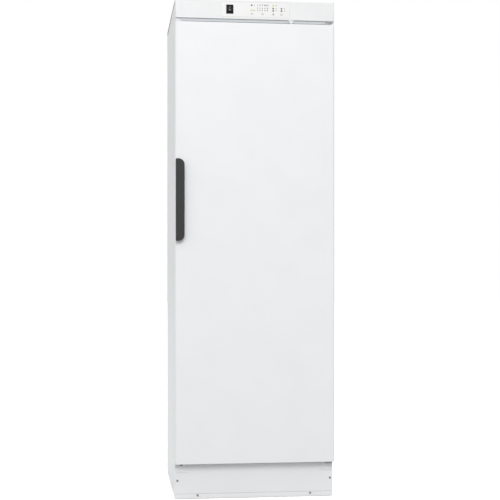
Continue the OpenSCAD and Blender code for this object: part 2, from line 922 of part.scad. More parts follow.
// Fan wheel: back plate, blades, front ring, hub and shaft
module fan_wheel() {
    blade_mid_r = wheel_r - blade_l / 2 - 1;
    blade_z = wheel_plate_t - eps;
    color(zinc)
        translate([fan_x, fan_y, wheel_z]) {
            cylinder(r = wheel_r, h = wheel_plate_t);
            for (i = [0 : blade_count - 1])
                rotate([0, 0, i * 360 / blade_count])
                    translate([blade_mid_r, 0, blade_z])
                        rotate([0, 0, blade_angle])
                            translate([-blade_l / 2, -blade_t / 2, 0])
                                cube([blade_l, blade_t, blade_h + 2 * eps]);
            translate([0, 0, wheel_plate_t + blade_h])
                difference() {
                    cylinder(r = wheel_r, h = wheel_ring_t);
                    translate([0, 0, -1])
                        cylinder(r = wheel_r - blade_l - 2, h = wheel_ring_t + 2);
                }
            cylinder(r = hub_r, h = hub_h);
            cylinder(r = shaft_r, h = motor_z + shaft_depth - wheel_z);
        }
}

// Duct that leads the air from the fan past the heater and down into the chamber
module heater_duct() {
    color(zinc)
        difference() {
            block([outlet_x, outlet_y, ceiling_top_z],
                  [outlet_x + heater_l, outlet_y + outlet_w, scroll_top_z]);
            block([outlet_x - 1, outlet_y + duct_t, ceiling_top_z - 1],
                  [outlet_x + heater_l - duct_t, outlet_y + outlet_w - duct_t, scroll_top_z - duct_t]);
            for (i = [1 : 3])
                rod_x(outlet_x + heater_l - duct_t - 1, outlet_y + i * outlet_w / 4, heater_tube_z,
                      heater_tube_r + fit_gap, duct_t + 2);
        }
}

// Finned heating element on three tubes that pass through the end of the duct
module heater_element() {
    tube_x = outlet_x + heater_start;
    fin_pitch = (heater_l - heater_start - 2 * fin_end) / (fin_count - 1);
    color(steel) {
        for (i = [1 : 3])
            rod_x(tube_x, outlet_y + i * outlet_w / 4, heater_tube_z, heater_tube_r, heater_l);
        for (i = [0 : fin_count - 1])
            translate([tube_x + fin_end + i * fin_pitch, outlet_y + fin_margin,
                       heater_tube_z - fin_h / 2])
                cube([fin_t, outlet_w - 2 * fin_margin, fin_h]);
    }
}

// Exhaust duct from the ceiling, with a slightly wider collar above the top cover
module exhaust_duct() {
    duct_h = casing_h - ceiling_top_z;
    color(zinc)
        translate([collar_x, collar_y, ceiling_top_z])
            difference() {
                union() {
                    cylinder(r = collar_r + collar_flange, h = collar_t);
                    cylinder(r = collar_r - collar_step, h = duct_h + eps);
                    translate([0, 0, duct_h])
                        cylinder(r = collar_r, h = collar_h);
                }
                translate([0, 0, -1])
                    cylinder(r = collar_r - collar_t, h = duct_h + collar_h + 2);
            }
}

module cord_gland() {
    in_y = back_panel_y - sheet_t - gland_in;
    color(black_plastic)
        difference() {
            union() {
                rod_y(gland_x, in_y, gland_z, gland_r, back_panel_y + gland_out - in_y);
                rod_y(gland_x, back_panel_y, gland_z, gland_nut_r, gland_nut_h);
            }
            rod_y(gland_x, in_y - 1, gland_z, gland_bore_r, back_panel_y + gland_out - in_y + 2);
        }
}

// Two angle brackets on the top that fix the cabinet to a wall
module wall_brackets() {
    color(zinc)
        for (side = [-1, 1])
            difference() {
                translate([side * wall_hole_span / 2 - wall_plate_w / 2, 0, 0]) {
                    block([0, rear_y - wall_plate_l, casing_h],
                          [wall_plate_w, rear_y, casing_h + wall_plate_t]);
                    block([0, rear_y - wall_plate_t, casing_h],
                          [wall_plate_w, rear_y, casing_h + wall_plate_l]);
                }
                rod_y(side * wall_hole_span / 2, rear_y - wall_plate_t - 1,
                      casing_h + wall_hole_rise, wall_hole_r, wall_plate_t + 2);
            }
}

// Levelling foot: pad, hexagon and threaded rod
module foot(i) {
    color(black_plastic)
        translate([foot_places[i][0], foot_places[i][1], 0]) {
            cylinder(r = foot_r, h = foot_h);
            cylinder(r = foot_hex_r, h = foot_h + foot_hex_h, $fn = 6);
            cylinder(r = foot_rod_r, h = foot_rod_top_z);
        }
}

// Bracket plates on the back wall with the bores of the racks' pivots
module rack_brackets() {
    x0 = arm_x + arm_t + bracket_gap;
    color(zinc)
        for (z = rack_zs)
            for (side = [-1, 1])
                translate([side * (x0 + bracket_t / 2) - bracket_t / 2, 0, z])
                    difference() {
                        block([0, pivot_y - bracket_nose, -bracket_h / 2],
                              [bracket_t, back_wall_y, bracket_h / 2]);
                        rod_x(-1, pivot_y, 0, pivot_r + pin_clearance, bracket_t + 2);
                    }
}

// Pegs on the side walls that the lowered arms rest on
module rack_rests() {
    rest_l = chamber_x - arm_x + 1;
    color(zinc)
        for (z = rack_zs)
            for (side = [-1, 1])
                rod_x(side * (chamber_x - rest_l / 2) - rest_l / 2, pivot_y - rack_reach + rest_back,
                      z - arm_h / 2 - rest_gap - rest_r, rest_r, rest_l);
}

// The two arms of a rack at height z, each with its pivot stub
module rack_frame(z) {
    stub_l = bracket_gap + bracket_t + stub_over;
    color(steel)
        for (side = [-1, 1]) {
            translate([side * (arm_x + arm_t / 2) - arm_t / 2, 0, z])
                block([0, pivot_y - rack_reach - arm_nose, -arm_h / 2],
                      [arm_t, pivot_y + arm_tail, arm_h / 2]);
            rod_x(side * (arm_x + arm_t + stub_l / 2 - eps) - stub_l / 2, pivot_y, z, pivot_r, stub_l);
        }
}

// The rods of a rack at height z, between its arms
module rack_rods(z) {
    rod_pitch = (rack_reach - first_rod_gap) / (rod_count - 1);
    color(steel)
        for (i = [0 : rod_count - 1])
            rod_x(-arm_x, pivot_y - rack_reach + i * rod_pitch, z, rod_r, 2 * arm_x);
}

// Cutters for the holes of the handle's screws, from y to y + l
module handle_screw_holes(y, l) {
    for (z = handle_screw_zs)
        rod_y(handle_screw_x, y, z, handle_screw_r + hole_gap, l);
}

// Outer sheet of the door: a pan that is open to the rear
module door_outer_skin() {
    rear = door_back_y - liner_t;
    color(white_paint)
        difference() {
            translate([0, 0, door_z])
                linear_extrude(door_h)
                    rounded_outline(door_w, door_front_y, rear, door_edge_r);
            translate([0, 0, door_z + skin_t])
                linear_extrude(door_h - 2 * skin_t)
                    rounded_outline(door_w - 2 * skin_t, door_front_y + skin_t, rear + 1,
                                    door_edge_r - skin_t);
            translate([hinge_x, hinge_y, door_z - 1])
                cylinder(r = bush_r + hole_gap, h = door_h + 2);
            handle_screw_holes(door_front_y - 1, skin_t + 2);
        }
}

// Inner liner of the door, with its rear edges rounded
module door_inner_liner() {
    edge_r = liner_t - 0.5;
    color(white_plastic)
        difference() {
            translate([0, 0, door_z])
                linear_extrude(door_h)
                    mirror([0, 1])
                        rounded_outline(door_w, -door_back_y, -door_back_y + liner_t, edge_r);
            handle_screw_holes(door_back_y - liner_t - 1, liner_t + 2);
        }
}

// Moulded wedge on the door's top left corner that fills the end of the gap over the door
module door_corner_cap() {
    left_x = -door_w / 2;
    color(white_plastic)
        intersection() {
            translate([0, 0, door_top_z])
                linear_extrude(cap_h)
                    rounded_outline(door_w, door_front_y, door_back_y - liner_t, door_edge_r);
            translate([left_x, door_back_y, door_top_z])
                rotate([90, 0, 0])
                    linear_extrude(door_t)
                        polygon([[0, 0], [0, cap_h], [cap_flat, cap_h], [cap_w, 0]]);
        }
}

module door_insulation() {
    side_x = door_w / 2 - foam_inset;
    color(foam)
        block([-side_x, door_front_y + skin_t, door_z + skin_t],
              [side_x, door_back_y - liner_t, door_top_z - skin_t]);
}

// Door seal: a frame round the chamber's mouth
module door_gasket() {
    outer_x = gasket_inner_x + gasket_w;
    seal_t = door_gap - gasket_clearance;
    color(pale_rubber)
        difference() {
            block([-outer_x, door_back_y, gasket_low_z],
                  [outer_x, door_back_y + seal_t, gasket_high_z]);
            block([-gasket_inner_x, door_back_y - 1, gasket_low_z + gasket_w],
                  [gasket_inner_x, front_y + 1, gasket_high_z - gasket_w]);
        }
}

// Front outline of the handle: nearly square outer corners and round inner ones
module handle_outline() {
    translate([0, handle_outer_r])
        square([handle_w / 2, handle_h - 2 * handle_outer_r]);
    translate([handle_outer_r, 0])
        square([handle_w - handle_outer_r - handle_corner_r, handle_h]);
    translate([handle_w / 2, handle_corner_r])
        square([handle_w / 2, handle_h - 2 * handle_corner_r]);
    for (z = [handle_outer_r, handle_h - handle_outer_r])
        translate([handle_outer_r, z])
            circle(r = handle_outer_r);
    for (z = [handle_corner_r, handle_h - handle_corner_r])
        intersection() {
            translate([handle_w - handle_corner_r, z])
                circle(r = handle_corner_r);
            square([handle_w, handle_h]);
        }
}

// Handle: base on the door, stem along its outer edge and grip plate in front
module door_handle() {
    color(dark_plastic)
        difference() {
            intersection() {
                translate([handle_left_x, door_front_y, handle_z])
                    rotate([90, 0, 0])
                        linear_extrude(handle_proud)
                            handle_outline();
                translate([0, 0, handle_z])
                    linear_extrude(handle_h)
                        union() {
                            translate([handle_left_x, handle_front_y])
                                square([handle_w, handle_plate_t]);
                            translate([handle_left_x, handle_front_y])
                                square([handle_stem_t, handle_proud]);
                            translate([handle_left_x, door_front_y - handle_base_t])
                                square([handle_base_right_x - handle_left_x, handle_base_t]);
                        }
            }
            handle_screw_holes(door_front_y - handle_base_t / 2, handle_base_t);
        }
}

// Screws that hold the handle, put in from the inside of the door
module handle_screws() {
    shank_l = door_t + handle_base_t / 2 - fit_gap;
    color(steel)
        for (z = handle_screw_zs) {
            rod_y(handle_screw_x, door_back_y - shank_l, z, handle_screw_r, shank_l + eps);
            rod_y(handle_screw_x, door_back_y, z, 2 * handle_screw_r, handle_screw_head_h);
        }
}

// Plastic bushes in the top and the bottom of the door
module door_bushes() {
    color(white_plastic)
        for (end = [0, 1])
            translate([hinge_x, hinge_y, end * door_top_z + (1 - end) * door_z])
                mirror([0, 0, 1 - end])
                    difference() {
                        union() {
                            cylinder(r = bush_flange_r, h = bush_flange_h);
                            translate([0, 0, -bush_h])
                                cylinder(r = bush_r, h = bush_h + eps);
                        }
                        translate([0, 0, -pin_depth - 1])
                            cylinder(r = hinge_pin_r + pin_clearance, h = pin_depth + bush_flange_h + 2);
                    }
}

module glove_rails() {
    color(zinc)
        for (z = [rail_low_z, rail_low_z + rail_pitch])
            block([-rail_l / 2, door_back_y, z - rail_h / 2],
                  [rail_l / 2, door_back_y + rail_t, z + rail_h / 2]);
}

// Round-tipped pegs on the rails
module glove_pegs() {
    peg_pitch = (rail_l - 2 * peg_margin) / (peg_count - 1);
    color(white_plastic)
        for (z = [rail_low_z, rail_low_z + rail_pitch])
            for (i = [0 : peg_count - 1])
                translate([-rail_l / 2 + peg_margin + i * peg_pitch, door_back_y + rail_t, z]) {
                    rod_y(0, 0, 0, peg_r, peg_l);
                    translate([0, peg_l, 0])
                        sphere(r = peg_r);
                }
}

side_panel(-1);  // side_panel_left
side_panel(1);  // side_panel_right
back_panel();
top_cover();
base_plate();
plinth_panel();
bottom_strip();
casing_screws();
front_rail_top();
front_sill();
inner_side_walls();
inner_back_wall();
chamber_floor();
chamber_ceiling();
wall_insulation();
drip_tray();
control_fascia();
display_insert();
switch_bezel();
switch_rocker();
indicator_lenses();
push_button(0);  // button_1
push_button(1);  // button_2
push_button(2);  // button_3
push_button(3);  // button_4
control_board();
door_switch_housing();
hinge_upper();
hinge_lower();
hinge_blank();
fan_housing();
fan_motor();
fan_wheel();
heater_duct();
heater_element();
exhaust_duct();
cord_gland();
wall_brackets();
foot(0);  // foot_1
foot(1);  // foot_2
foot(2);  // foot_3
foot(3);  // foot_4
rack_brackets();
rack_rests();
rack_frame(rack_high_z);  // rack_high_frame
rack_rods(rack_high_z);  // rack_high_rods
rack_frame(rack_middle_z);  // rack_middle_frame
rack_rods(rack_middle_z);  // rack_middle_rods
rack_frame(rack_low_z);  // rack_low_frame
rack_rods(rack_low_z);  // rack_low_rods
door_outer_skin();
door_inner_liner();
door_corner_cap();
door_insulation();
door_gasket();
door_handle();
handle_screws();
door_bushes();
glove_rails();
glove_pegs();
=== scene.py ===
"""Drying cabinet: finished casing, chamber, door, control panel, machine space and studio.

Shapes are built in millimetres and scaled to metres when they are linked."""
import json
import math

import bmesh
import bpy
from bpy.props import FloatProperty, FloatVectorProperty, PointerProperty
from bpy.types import Operator, Panel, PropertyGroup
from mathutils import Matrix, Vector, noise


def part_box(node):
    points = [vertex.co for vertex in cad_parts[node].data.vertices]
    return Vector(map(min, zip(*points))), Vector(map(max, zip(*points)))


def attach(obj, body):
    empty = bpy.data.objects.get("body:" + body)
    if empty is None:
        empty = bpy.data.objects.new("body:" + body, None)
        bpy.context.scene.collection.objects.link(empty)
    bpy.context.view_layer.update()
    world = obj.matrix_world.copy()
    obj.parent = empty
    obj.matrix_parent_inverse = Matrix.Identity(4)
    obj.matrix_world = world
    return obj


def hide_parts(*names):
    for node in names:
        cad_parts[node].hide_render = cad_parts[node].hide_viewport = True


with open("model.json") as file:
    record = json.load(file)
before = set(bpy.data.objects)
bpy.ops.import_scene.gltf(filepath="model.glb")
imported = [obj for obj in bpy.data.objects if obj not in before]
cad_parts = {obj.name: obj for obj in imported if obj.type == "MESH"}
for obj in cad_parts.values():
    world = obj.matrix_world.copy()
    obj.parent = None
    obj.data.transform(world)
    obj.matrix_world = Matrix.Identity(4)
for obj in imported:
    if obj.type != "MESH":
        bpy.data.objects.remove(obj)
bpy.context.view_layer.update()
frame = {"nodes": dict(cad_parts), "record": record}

bl_info = {
    "name": "Drying Cabinet Finish",
    "version": (1, 0, 0),
    "blender": (4, 5, 0),
    "location": "3D View > Sidebar > Cabinet",
    "description": "Builds the finished pieces of a drying cabinet and its studio",
    "category": "Object",
}

MM = 0.001
FULL_TURN = 2 * math.pi
X_AXIS, Y_AXIS, Z_AXIS = (Vector(axis) for axis in ((1, 0, 0), (0, 1, 0), (0, 0, 1)))

# Edges that are sharper than the first are rounded, and than the second are shaded sharp.
ROUNDING_ANGLE, SHADING_ANGLE = math.radians(40), math.radians(42)
# Reach of a test for places on a face, and thickness of printed marks, in millimetres.
NEAR, PRINT_T = 0.1, 0.05
# Columns and rows of the indicator lenses, in millimetres, and each lens's column and row.
LENS_X, LENS_Z = (-13.7, 66.6, 97.8), (1835.0, 1824.5, 1816.2)
LIT_LENSES, UNLIT_LENSES = ((0, 2), (1, 0)), ((0, 0), (1, 1), (1, 2), (2, 1), (2, 2))
# Painted glow of the lit lenses on the insert: its middle, and its reach across and up, in metres.
GLOWS = (((-0.0137, 1.8162), (0.0085, 0.0042)), ((0.0666, 1.8353), (0.0048, 0.0062)))


# ---------------------------------------------------------------- settings


def colour_property(name, description, default):
    return FloatVectorProperty(
        name=name, description=description, default=default,
        subtype="COLOR", size=3, min=0, max=1)


def length_property(name, description, default):
    return FloatProperty(
        name=name, description=description, default=default, min=0,
        unit="LENGTH", subtype="DISTANCE")


class CabinetColours(PropertyGroup):
    """Colours of the cabinet's finishes, in linear light"""

    paint: colour_property("Paint", "Powder coat of the casing and the door", (0.85, 0.862, 0.875))
    chamber: colour_property("Chamber", "Enamel inside the chamber", (0.83, 0.835, 0.83))
    fascia: colour_property("Fascia", "Moulded control fascia", (0.795, 0.805, 0.81))
    insert: colour_property("Insert", "Display insert", (0.83, 0.833, 0.825))
    liner: colour_property("Liner", "Inner liner of the door", (0.8, 0.805, 0.8))
    handle: colour_property("Handle", "Grained plastic of the handle", (0.023, 0.023, 0.024))
    switch: colour_property("Switch", "Mains switch and its frame", (0.007, 0.007, 0.008))
    ink: colour_property("Ink", "Printed marks on the insert", (0.05, 0.05, 0.05))
    lamp: colour_property("Lamp", "Lit indicator lamps", (0.5, 0.54, 0.16))
    seal: colour_property("Seal", "Door seal", (0.6, 0.6, 0.59))


class CabinetEdges(PropertyGroup):
    """Radii of bends and edges"""

    sheet_bend: length_property("Sheet bend", "Outer radius of the casing's bends", 3 * MM)
    door_rim: length_property("Door rim", "Radius of the door's top and bottom edges", 1.6 * MM)
    moulded: length_property("Moulded edge", "Radius of edges on moulded plastic", 0.8 * MM)
    cut: length_property("Cut edge", "Radius of edges on cut sheet", 0.35 * MM)
    handle: length_property("Handle edge", "Radius of the grip plate's edges", 1.6 * MM)


class CabinetStudio(PropertyGroup):
    """Studio light and backdrop"""

    ambient: FloatProperty(
        name="Ambient", description="Strength of the even light", default=0.87, min=0)
    lamp_power: FloatProperty(
        name="Lamp", description="Power of the soft front lamp in watts",
        default=272, min=0, unit="POWER")
    floor_size: length_property("Floor size", "Side of the pale floor", 60.0)


def colours():
    return bpy.context.scene.cabinet_colours


def edge_radius(name):
    """Radius from the edge settings, in millimetres."""
    return getattr(bpy.context.scene.cabinet_edges, name) / MM


# ---------------------------------------------------------------- meshes


def span(node):
    """Lowest and highest corner of a node, in millimetres."""
    low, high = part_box(node)
    return Vector(low) / MM, Vector(high) / MM


def node_row(node):
    """Material slot and body of a node."""
    record = frame["record"]
    slots = {row["node"]: row["material_slot"] for row in record["subparts"]}
    bodies = {name: body for body, names in record["behaviour"]["bodies"].items() for name in names}
    return slots[node], bodies[node]


def joint_place(name):
    """Place of a joint, in millimetres."""
    joints = frame["record"]["behaviour"]["joints"]
    return Vector(next(row["pos_m"] for row in joints if row["name"] == name)) / MM


def off_axis(point, axis):
    """Distance of a point from an upright axis."""
    return math.hypot(point.x - axis.x, point.y - axis.y)


def at_front(low):
    """Test for places on the front of the node that has this lowest corner."""
    return lambda p: p.y < low.y + NEAR


def scaled(mesh, factor):
    bmesh.ops.scale(mesh, vec=(factor,) * 3, verts=mesh.verts)
    return mesh


def copy_of(node):
    """Welded copy of a node's mesh in millimetres, with its flat faces joined."""
    mesh = bmesh.new()
    mesh.from_mesh(frame["nodes"][node].data)
    scaled(mesh, 1 / MM)
    bmesh.ops.remove_doubles(mesh, verts=mesh.verts, dist=0.001)
    bmesh.ops.dissolve_limit(
        mesh, angle_limit=math.radians(0.5), verts=mesh.verts, edges=mesh.edges)
    return mesh


def round_edges(mesh, width, where=None, segments=3):
    """Rounds the sharp edges whose middle passes the test."""
    sharp = []
    for edge in mesh.edges:
        if len(edge.link_faces) != 2 or edge.calc_face_angle(0) < ROUNDING_ANGLE:
            continue
        if where is None or where((edge.verts[0].co + edge.verts[1].co) / 2):
            sharp.append(edge)
    bmesh.ops.bevel(
        mesh, geom=sharp, offset=width, segments=segments, profile=0.5,
        affect="EDGES", clamp_overlap=False)
    return mesh


def set_finish(mesh, index, where):
    """Gives the faces whose middle passes the test the finish with that index."""
    for face in mesh.faces:
        if where(face.calc_center_median()):
            face.material_index = index


def joined(target, *parts, finish_index=None):
    """Moves the parts' geometry into the target mesh."""
    for part in parts:
        if finish_index is not None:
            for face in part.faces:
                face.material_index = finish_index
        data = bpy.data.meshes.new("part")
        part.to_mesh(data)
        part.free()
        target.from_mesh(data)
        bpy.data.meshes.remove(data)
    return target


def link_piece(name, mesh, finishes, body, node=None):
    """Turns a mesh into a piece that rides on a body and may stand for a node."""
    scaled(mesh, MM)
    mesh.normal_update()
    data = bpy.data.meshes.new(name)
    mesh.to_mesh(data)
    mesh.free()
    for key in finishes:
        data.materials.append(finish(key))
    data.polygons.foreach_set("use_smooth", [True] * len(data.polygons))
    data.set_sharp_from_angle(angle=SHADING_ANGLE)
    piece = bpy.data.objects.new(name, data)
    bpy.context.scene.collection.objects.link(piece)
    piece.modifiers.new("even_shading", "WEIGHTED_NORMAL").keep_sharp = True
    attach(piece, body)
    if node:
        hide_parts(node)
    return piece


def link_finished(node, mesh, finishes):
    """Piece that stands for a node, on the node's own body."""
    slot, body = node_row(node)
    return link_piece(node + "_finished", mesh, finishes, body, node)


def dress_node(node, finishes, *roundings, marks=(), segments=3):
    """Piece from a node's own shape, with edges rounded and faces given other finishes.

    A rounding is a width or a pair of a width and a place test, and a mark is a finish
    index and a place test."""
    mesh = copy_of(node)
    for rounding in roundings:
        width, where = rounding if isinstance(rounding, tuple) else (rounding, None)
        round_edges(mesh, width, where, segments)
    for index, where in marks:
        set_finish(mesh, index, where)
    return link_finished(node, mesh, finishes)


def arc(centre, radius, start, end, steps):
    """Points on an arc, with its angles in degrees."""
    angles = [math.radians(start + (end - start) * i / steps) for i in range(steps + 1)]
    return [(centre[0] + radius * math.cos(a), centre[1] + radius * math.sin(a)) for a in angles]


def lofted(rings, ends=True):
    """Surface through rings of as many points each, closed round each ring."""
    mesh = bmesh.new()
    made = [[mesh.verts.new(point) for point in ring] for ring in rings]
    for low, high in zip(made, made[1:]):
        for i in range(len(low)):
            j = (i + 1) % len(low)
            mesh.faces.new((low[i], low[j], high[j], high[i]))
    if ends:
        mesh.faces.new(list(reversed(made[0])))
        mesh.faces.new(made[-1])
    else:
        bmesh.ops.remove_doubles(mesh, verts=mesh.verts, dist=0.0001)
    bmesh.ops.recalc_face_normals(mesh, faces=mesh.faces)
    return mesh


def extruded(outline, origin, across, up, along, length):
    """Solid with a flat outline in the across and up directions, drawn out along a third."""
    origin = Vector(origin)
    flat = [origin + across * a + up * b for a, b in outline]
    return lofted([flat, [point + along * length for point in flat]])


def turned(profile, origin, axis, steps=48, ring=False):
    """Turned part; the profile holds pairs of a height along the axis and a radius.

    A ring is a hollow part whose profile goes once round its section."""
    side = axis.orthogonal().normalized()
    other = axis.cross(side)
    spokes = [
        side * math.cos(FULL_TURN * i / steps) + other * math.sin(FULL_TURN * i / steps)
        for i in range(steps)]
    rings = [
        [Vector(origin) + axis * height + spoke * radius for spoke in spokes]
        for height, radius in profile]
    return lofted(rings + rings[:1], ends=False) if ring else lofted(rings)


def framed(profile, low, high, y):
    """Profile swept round a rectangle in X and Z with mitred corners.

    The profile holds pairs of an outward distance and a rise towards +Y."""
    corners = ((-1, -1), (1, -1), (1, 1), (-1, 1), (-1, -1))
    rings = []
    for sx, sz in corners:
        x = high[0] if sx > 0 else low[0]
        z = high[1] if sz > 0 else low[1]
        rings.append([Vector((x + sx * out, y + rise, z + sz * out)) for out, rise in profile])
    return lofted(rings, ends=False)


def hexagon(radius):
    """Outline of a nut about the origin, with a corner at that radius."""
    angles = [FULL_TURN * i / 6 for i in range(6)]
    return [(radius * math.cos(angle), radius * math.sin(angle)) for angle in angles]


def rounded_rectangle(width, depth, radius, steps=6):
    """Outline of a rectangle about the origin with round corners."""
    points = []
    for sx, sy, start in ((1, 1, 0), (-1, 1, 90), (-1, -1, 180), (1, -1, 270)):
        centre = (sx * (width / 2 - radius), sy * (depth / 2 - radius))
        points += arc(centre, radius, start, start + 90, steps)
    return points


def bent_strip(points, radius, thickness, steps=6):
    """Outline of a bent strip whose middle line follows the points with round bends."""
    corners = [Vector(point) for point in points]
    middle = [(corners[0], (corners[1] - corners[0]).normalized())]
    for before, here, after in zip(corners, corners[1:], corners[2:]):
        way_in, way_out = (here - before).normalized(), (after - here).normalized()
        turn = way_in.angle_signed(way_out)
        start = here - way_in * radius * math.tan(abs(turn) / 2)
        centre = start + Vector((-way_in.y, way_in.x)) * math.copysign(radius, -turn)
        for k in range(steps + 1):
            swing = Matrix.Rotation(-turn * k / steps, 2)
            middle.append((centre + swing @ (start - centre), swing @ way_in))
    middle.append((corners[-1], (corners[-1] - corners[-2]).normalized()))
    sides = [Vector((-way.y, way.x)) * thickness / 2 for _, way in middle]
    left = [point + side for (point, _), side in zip(middle, sides)]
    right = [point - side for (point, _), side in zip(middle, sides)]
    return [tuple(point) for point in left + right[::-1]]


def pressed_bead(start, end, radius, height, outward, steps=10, rings=4):
    """Domed bead between two points on a sheet, raised towards outward."""
    top_share = 0.02
    start, end = Vector(start), Vector(end)
    along = (end - start).normalized()
    side = along.cross(outward)
    loops = []
    for k in range(rings + 1):
        reach = radius * max(math.cos(math.pi / 2 * k / rings), top_share)
        rise = outward * height * math.sin(math.pi / 2 * k / rings)
        loop = []
        for centre, first in ((end, -90), (start, 90)):
            for i in range(steps + 1):
                angle = math.radians(first + 180 * i / steps)
                spoke = along * math.cos(angle) + side * math.sin(angle)
                loop.append(centre + rise + spoke * reach)
        loops.append(loop)
    return lofted(loops)


def flat_mark(outline, x, y, z):
    """Thin printed mark on a face that looks towards -Y; the outline is in X and Z."""
    return extruded(outline, (x, y, z), X_AXIS, Z_AXIS, -Y_AXIS, PRINT_T)


def bar_mark(x, y, z, width, height):
    """Printed bar with round corners."""
    corner_r = min(width, height) * 0.35
    return flat_mark(rounded_rectangle(width, height, corner_r, 3), x, y, z)


def ring_mark(x, y, z, outer, inner):
    """Printed ring."""
    section = [(0, inner), (0, outer), (PRINT_T, outer), (PRINT_T, inner)]
    return turned(section, (x, y, z), -Y_AXIS, 28, ring=True)


def figure_mark(text, x, y, z, height):
    """Printed figures on a face that looks towards -Y."""
    size_share, bold_share = 1.4, 0.05
    curve = bpy.data.curves.new("figures", "FONT")
    curve.body, curve.size, curve.extrude = text, height * size_share, PRINT_T / 2
    curve.offset = height * bold_share
    curve.align_x = curve.align_y = "CENTER"
    curve.resolution_u = 3
    holder = bpy.data.objects.new("figures", curve)
    bpy.context.scene.collection.objects.link(holder)
    solid = holder.evaluated_get(bpy.context.evaluated_depsgraph_get())
    mesh = bmesh.new()
    mesh.from_mesh(solid.to_mesh())
    solid.to_mesh_clear()
    bpy.data.objects.remove(holder)
    bpy.data.curves.remove(curve)
    bmesh.ops.rotate(mesh, matrix=Matrix.Rotation(math.radians(90), 3, "X"), verts=mesh.verts)
    bmesh.ops.translate(mesh, vec=(x, y, z), verts=mesh.verts)
    return mesh


# ---------------------------------------------------------------- finishes


def add_node(tree, kind, inputs=None, **settings):
    """New node with its settings, and with values or links on its inputs."""
    made = tree.nodes.new(kind)
    for key, value in settings.items():
        setattr(made, key, value)
    for key, value in (inputs or {}).items():
        if isinstance(value, bpy.types.NodeSocket):
            tree.links.new(value, made.inputs[key])
        else:
            made.inputs[key].default_value = value
    return made


class Surface:
    """Node material that is being put together; its pattern lies in the shared frame."""

    def __init__(self, name, roughness, metallic=0.0, specular=0.5, coat=0.0):
        self.material = bpy.data.materials.new(name)
        self.material.use_nodes = True
        self.tree = self.material.node_tree
        self.shader = self.tree.nodes["Principled BSDF"]
        for key, value in (("Roughness", roughness), ("Metallic", metallic),
                           ("Specular IOR Level", specular), ("Coat Weight", coat)):
            self.shader.inputs[key].default_value = value
        self.place = self.node("ShaderNodeTexCoord").outputs["Object"]
        self.normal = None

    def node(self, kind, inputs=None, **settings):
        return add_node(self.tree, kind, inputs, **settings)

    def value(self, operation, first, second):
        """Result of a math node on two values."""
        return self.node("ShaderNodeMath", {0: first, 1: second}, operation=operation).outputs[0]

    def vector(self, operation, *values):
        """Outputs of a vector math node."""
        inputs = dict(enumerate(values))
        return self.node("ShaderNodeVectorMath", inputs, operation=operation).outputs

    def stretched(self, factors):
        """The pattern's place, scaled along each axis."""
        return self.vector("MULTIPLY", self.place, factors)[0]

    def noise(self, scale, detail=3.0, stretch=None):
        """Cloudy value from about 0.3 to 0.7; scale is in waves per metre."""
        place = self.stretched(stretch) if stretch else self.place
        return self.node("ShaderNodeTexNoise", {
            "Vector": place, "Scale": scale, "Detail": detail}).outputs[0]

    def cells(self, scale, feature="F1", output=0, stretch=None):
        """Cell pattern's distance or colour."""
        place = self.stretched(stretch) if stretch else self.place
        return self.node("ShaderNodeTexVoronoi", {"Vector": place, "Scale": scale},
                         feature=feature).outputs[output]

    def ranged(self, value, low, high, start=0.3, end=0.7):
        """The value's stretch from start to end spread from low to high."""
        return self.node("ShaderNodeMapRange", {
            "Value": value, "From Min": start, "From Max": end,
            "To Min": low, "To Max": high}).outputs[0]

    def mixed(self, value, first, second):
        """Colour between two colours or links."""
        pair = [item if isinstance(item, bpy.types.NodeSocket) else (*item, 1)
                for item in (first, second)]
        return self.node("ShaderNodeMix", {0: value, 6: pair[0], 7: pair[1]},
                         data_type="RGBA").outputs[2]

    def paint(self, colour):
        if isinstance(colour, bpy.types.NodeSocket):
            self.tree.links.new(colour, self.shader.inputs["Base Color"])
        else:
            self.shader.inputs["Base Color"].default_value = (*colour, 1)

    def mottle(self, colour, amount, scale, detail=3.0, stretch=None):
        """Base colour that wanders a little lighter and darker."""
        dark = [part * (1 - amount) for part in colour]
        light = [min(part * (1 + amount), 1) for part in colour]
        value = self.ranged(self.noise(scale, detail, stretch), 0, 1)
        mixed = self.mixed(value, dark, light)
        self.paint(mixed)
        return mixed

    def vary_roughness(self, low, high, scale, stretch=None):
        value = self.ranged(self.noise(scale, 4, stretch), low, high)
        self.tree.links.new(value, self.shader.inputs["Roughness"])

    def bump(self, height, depth, strength=1.0):
        """Relief with the depth in metres, laid over the relief that is there."""
        inputs = {"Height": height, "Distance": depth, "Strength": strength}
        if self.normal:
            inputs["Normal"] = self.normal
        self.normal = self.node("ShaderNodeBump", inputs).outputs[0]
        self.tree.links.new(self.normal, self.shader.inputs["Normal"])


def powder_coat(name, colour, roughness=0.42):
    """Baked powder coat with a fine orange peel."""
    surface = Surface(name, roughness, specular=0.45)
    surface.mottle(colour, 0.012, 9, 5)
    surface.vary_roughness(roughness - 0.05, roughness + 0.06, 60)
    surface.bump(surface.noise(420, 2), 0.00005, 0.5)
    surface.bump(surface.noise(1900, 2), 0.00001, 0.35)
    return surface


def moulded(name, colour, roughness, grain=1500, depth=0.00002, amount=0.02, specular=0.5):
    """Moulded plastic with a spark-eroded grain and faint flow marks."""
    surface = Surface(name, roughness, specular=specular)
    surface.mottle(colour, amount, 35, 4, (1, 1, 0.4))
    surface.vary_roughness(roughness - 0.06, roughness + 0.06, 180)
    surface.bump(surface.cells(grain, "SMOOTH_F1"), depth, 0.6)
    return surface


def brushed(name, colour, roughness, stretch, metallic=1.0):
    """Metal with fine lines; the stretch is large across the lines and small along them."""
    surface = Surface(name, roughness, metallic=metallic)
    surface.mottle(colour, 0.06, 1, 6, stretch)
    surface.vary_roughness(roughness - 0.07, roughness + 0.09, 1, stretch)
    surface.bump(surface.noise(1, 5, stretch), 0.00001, 0.3)
    return surface


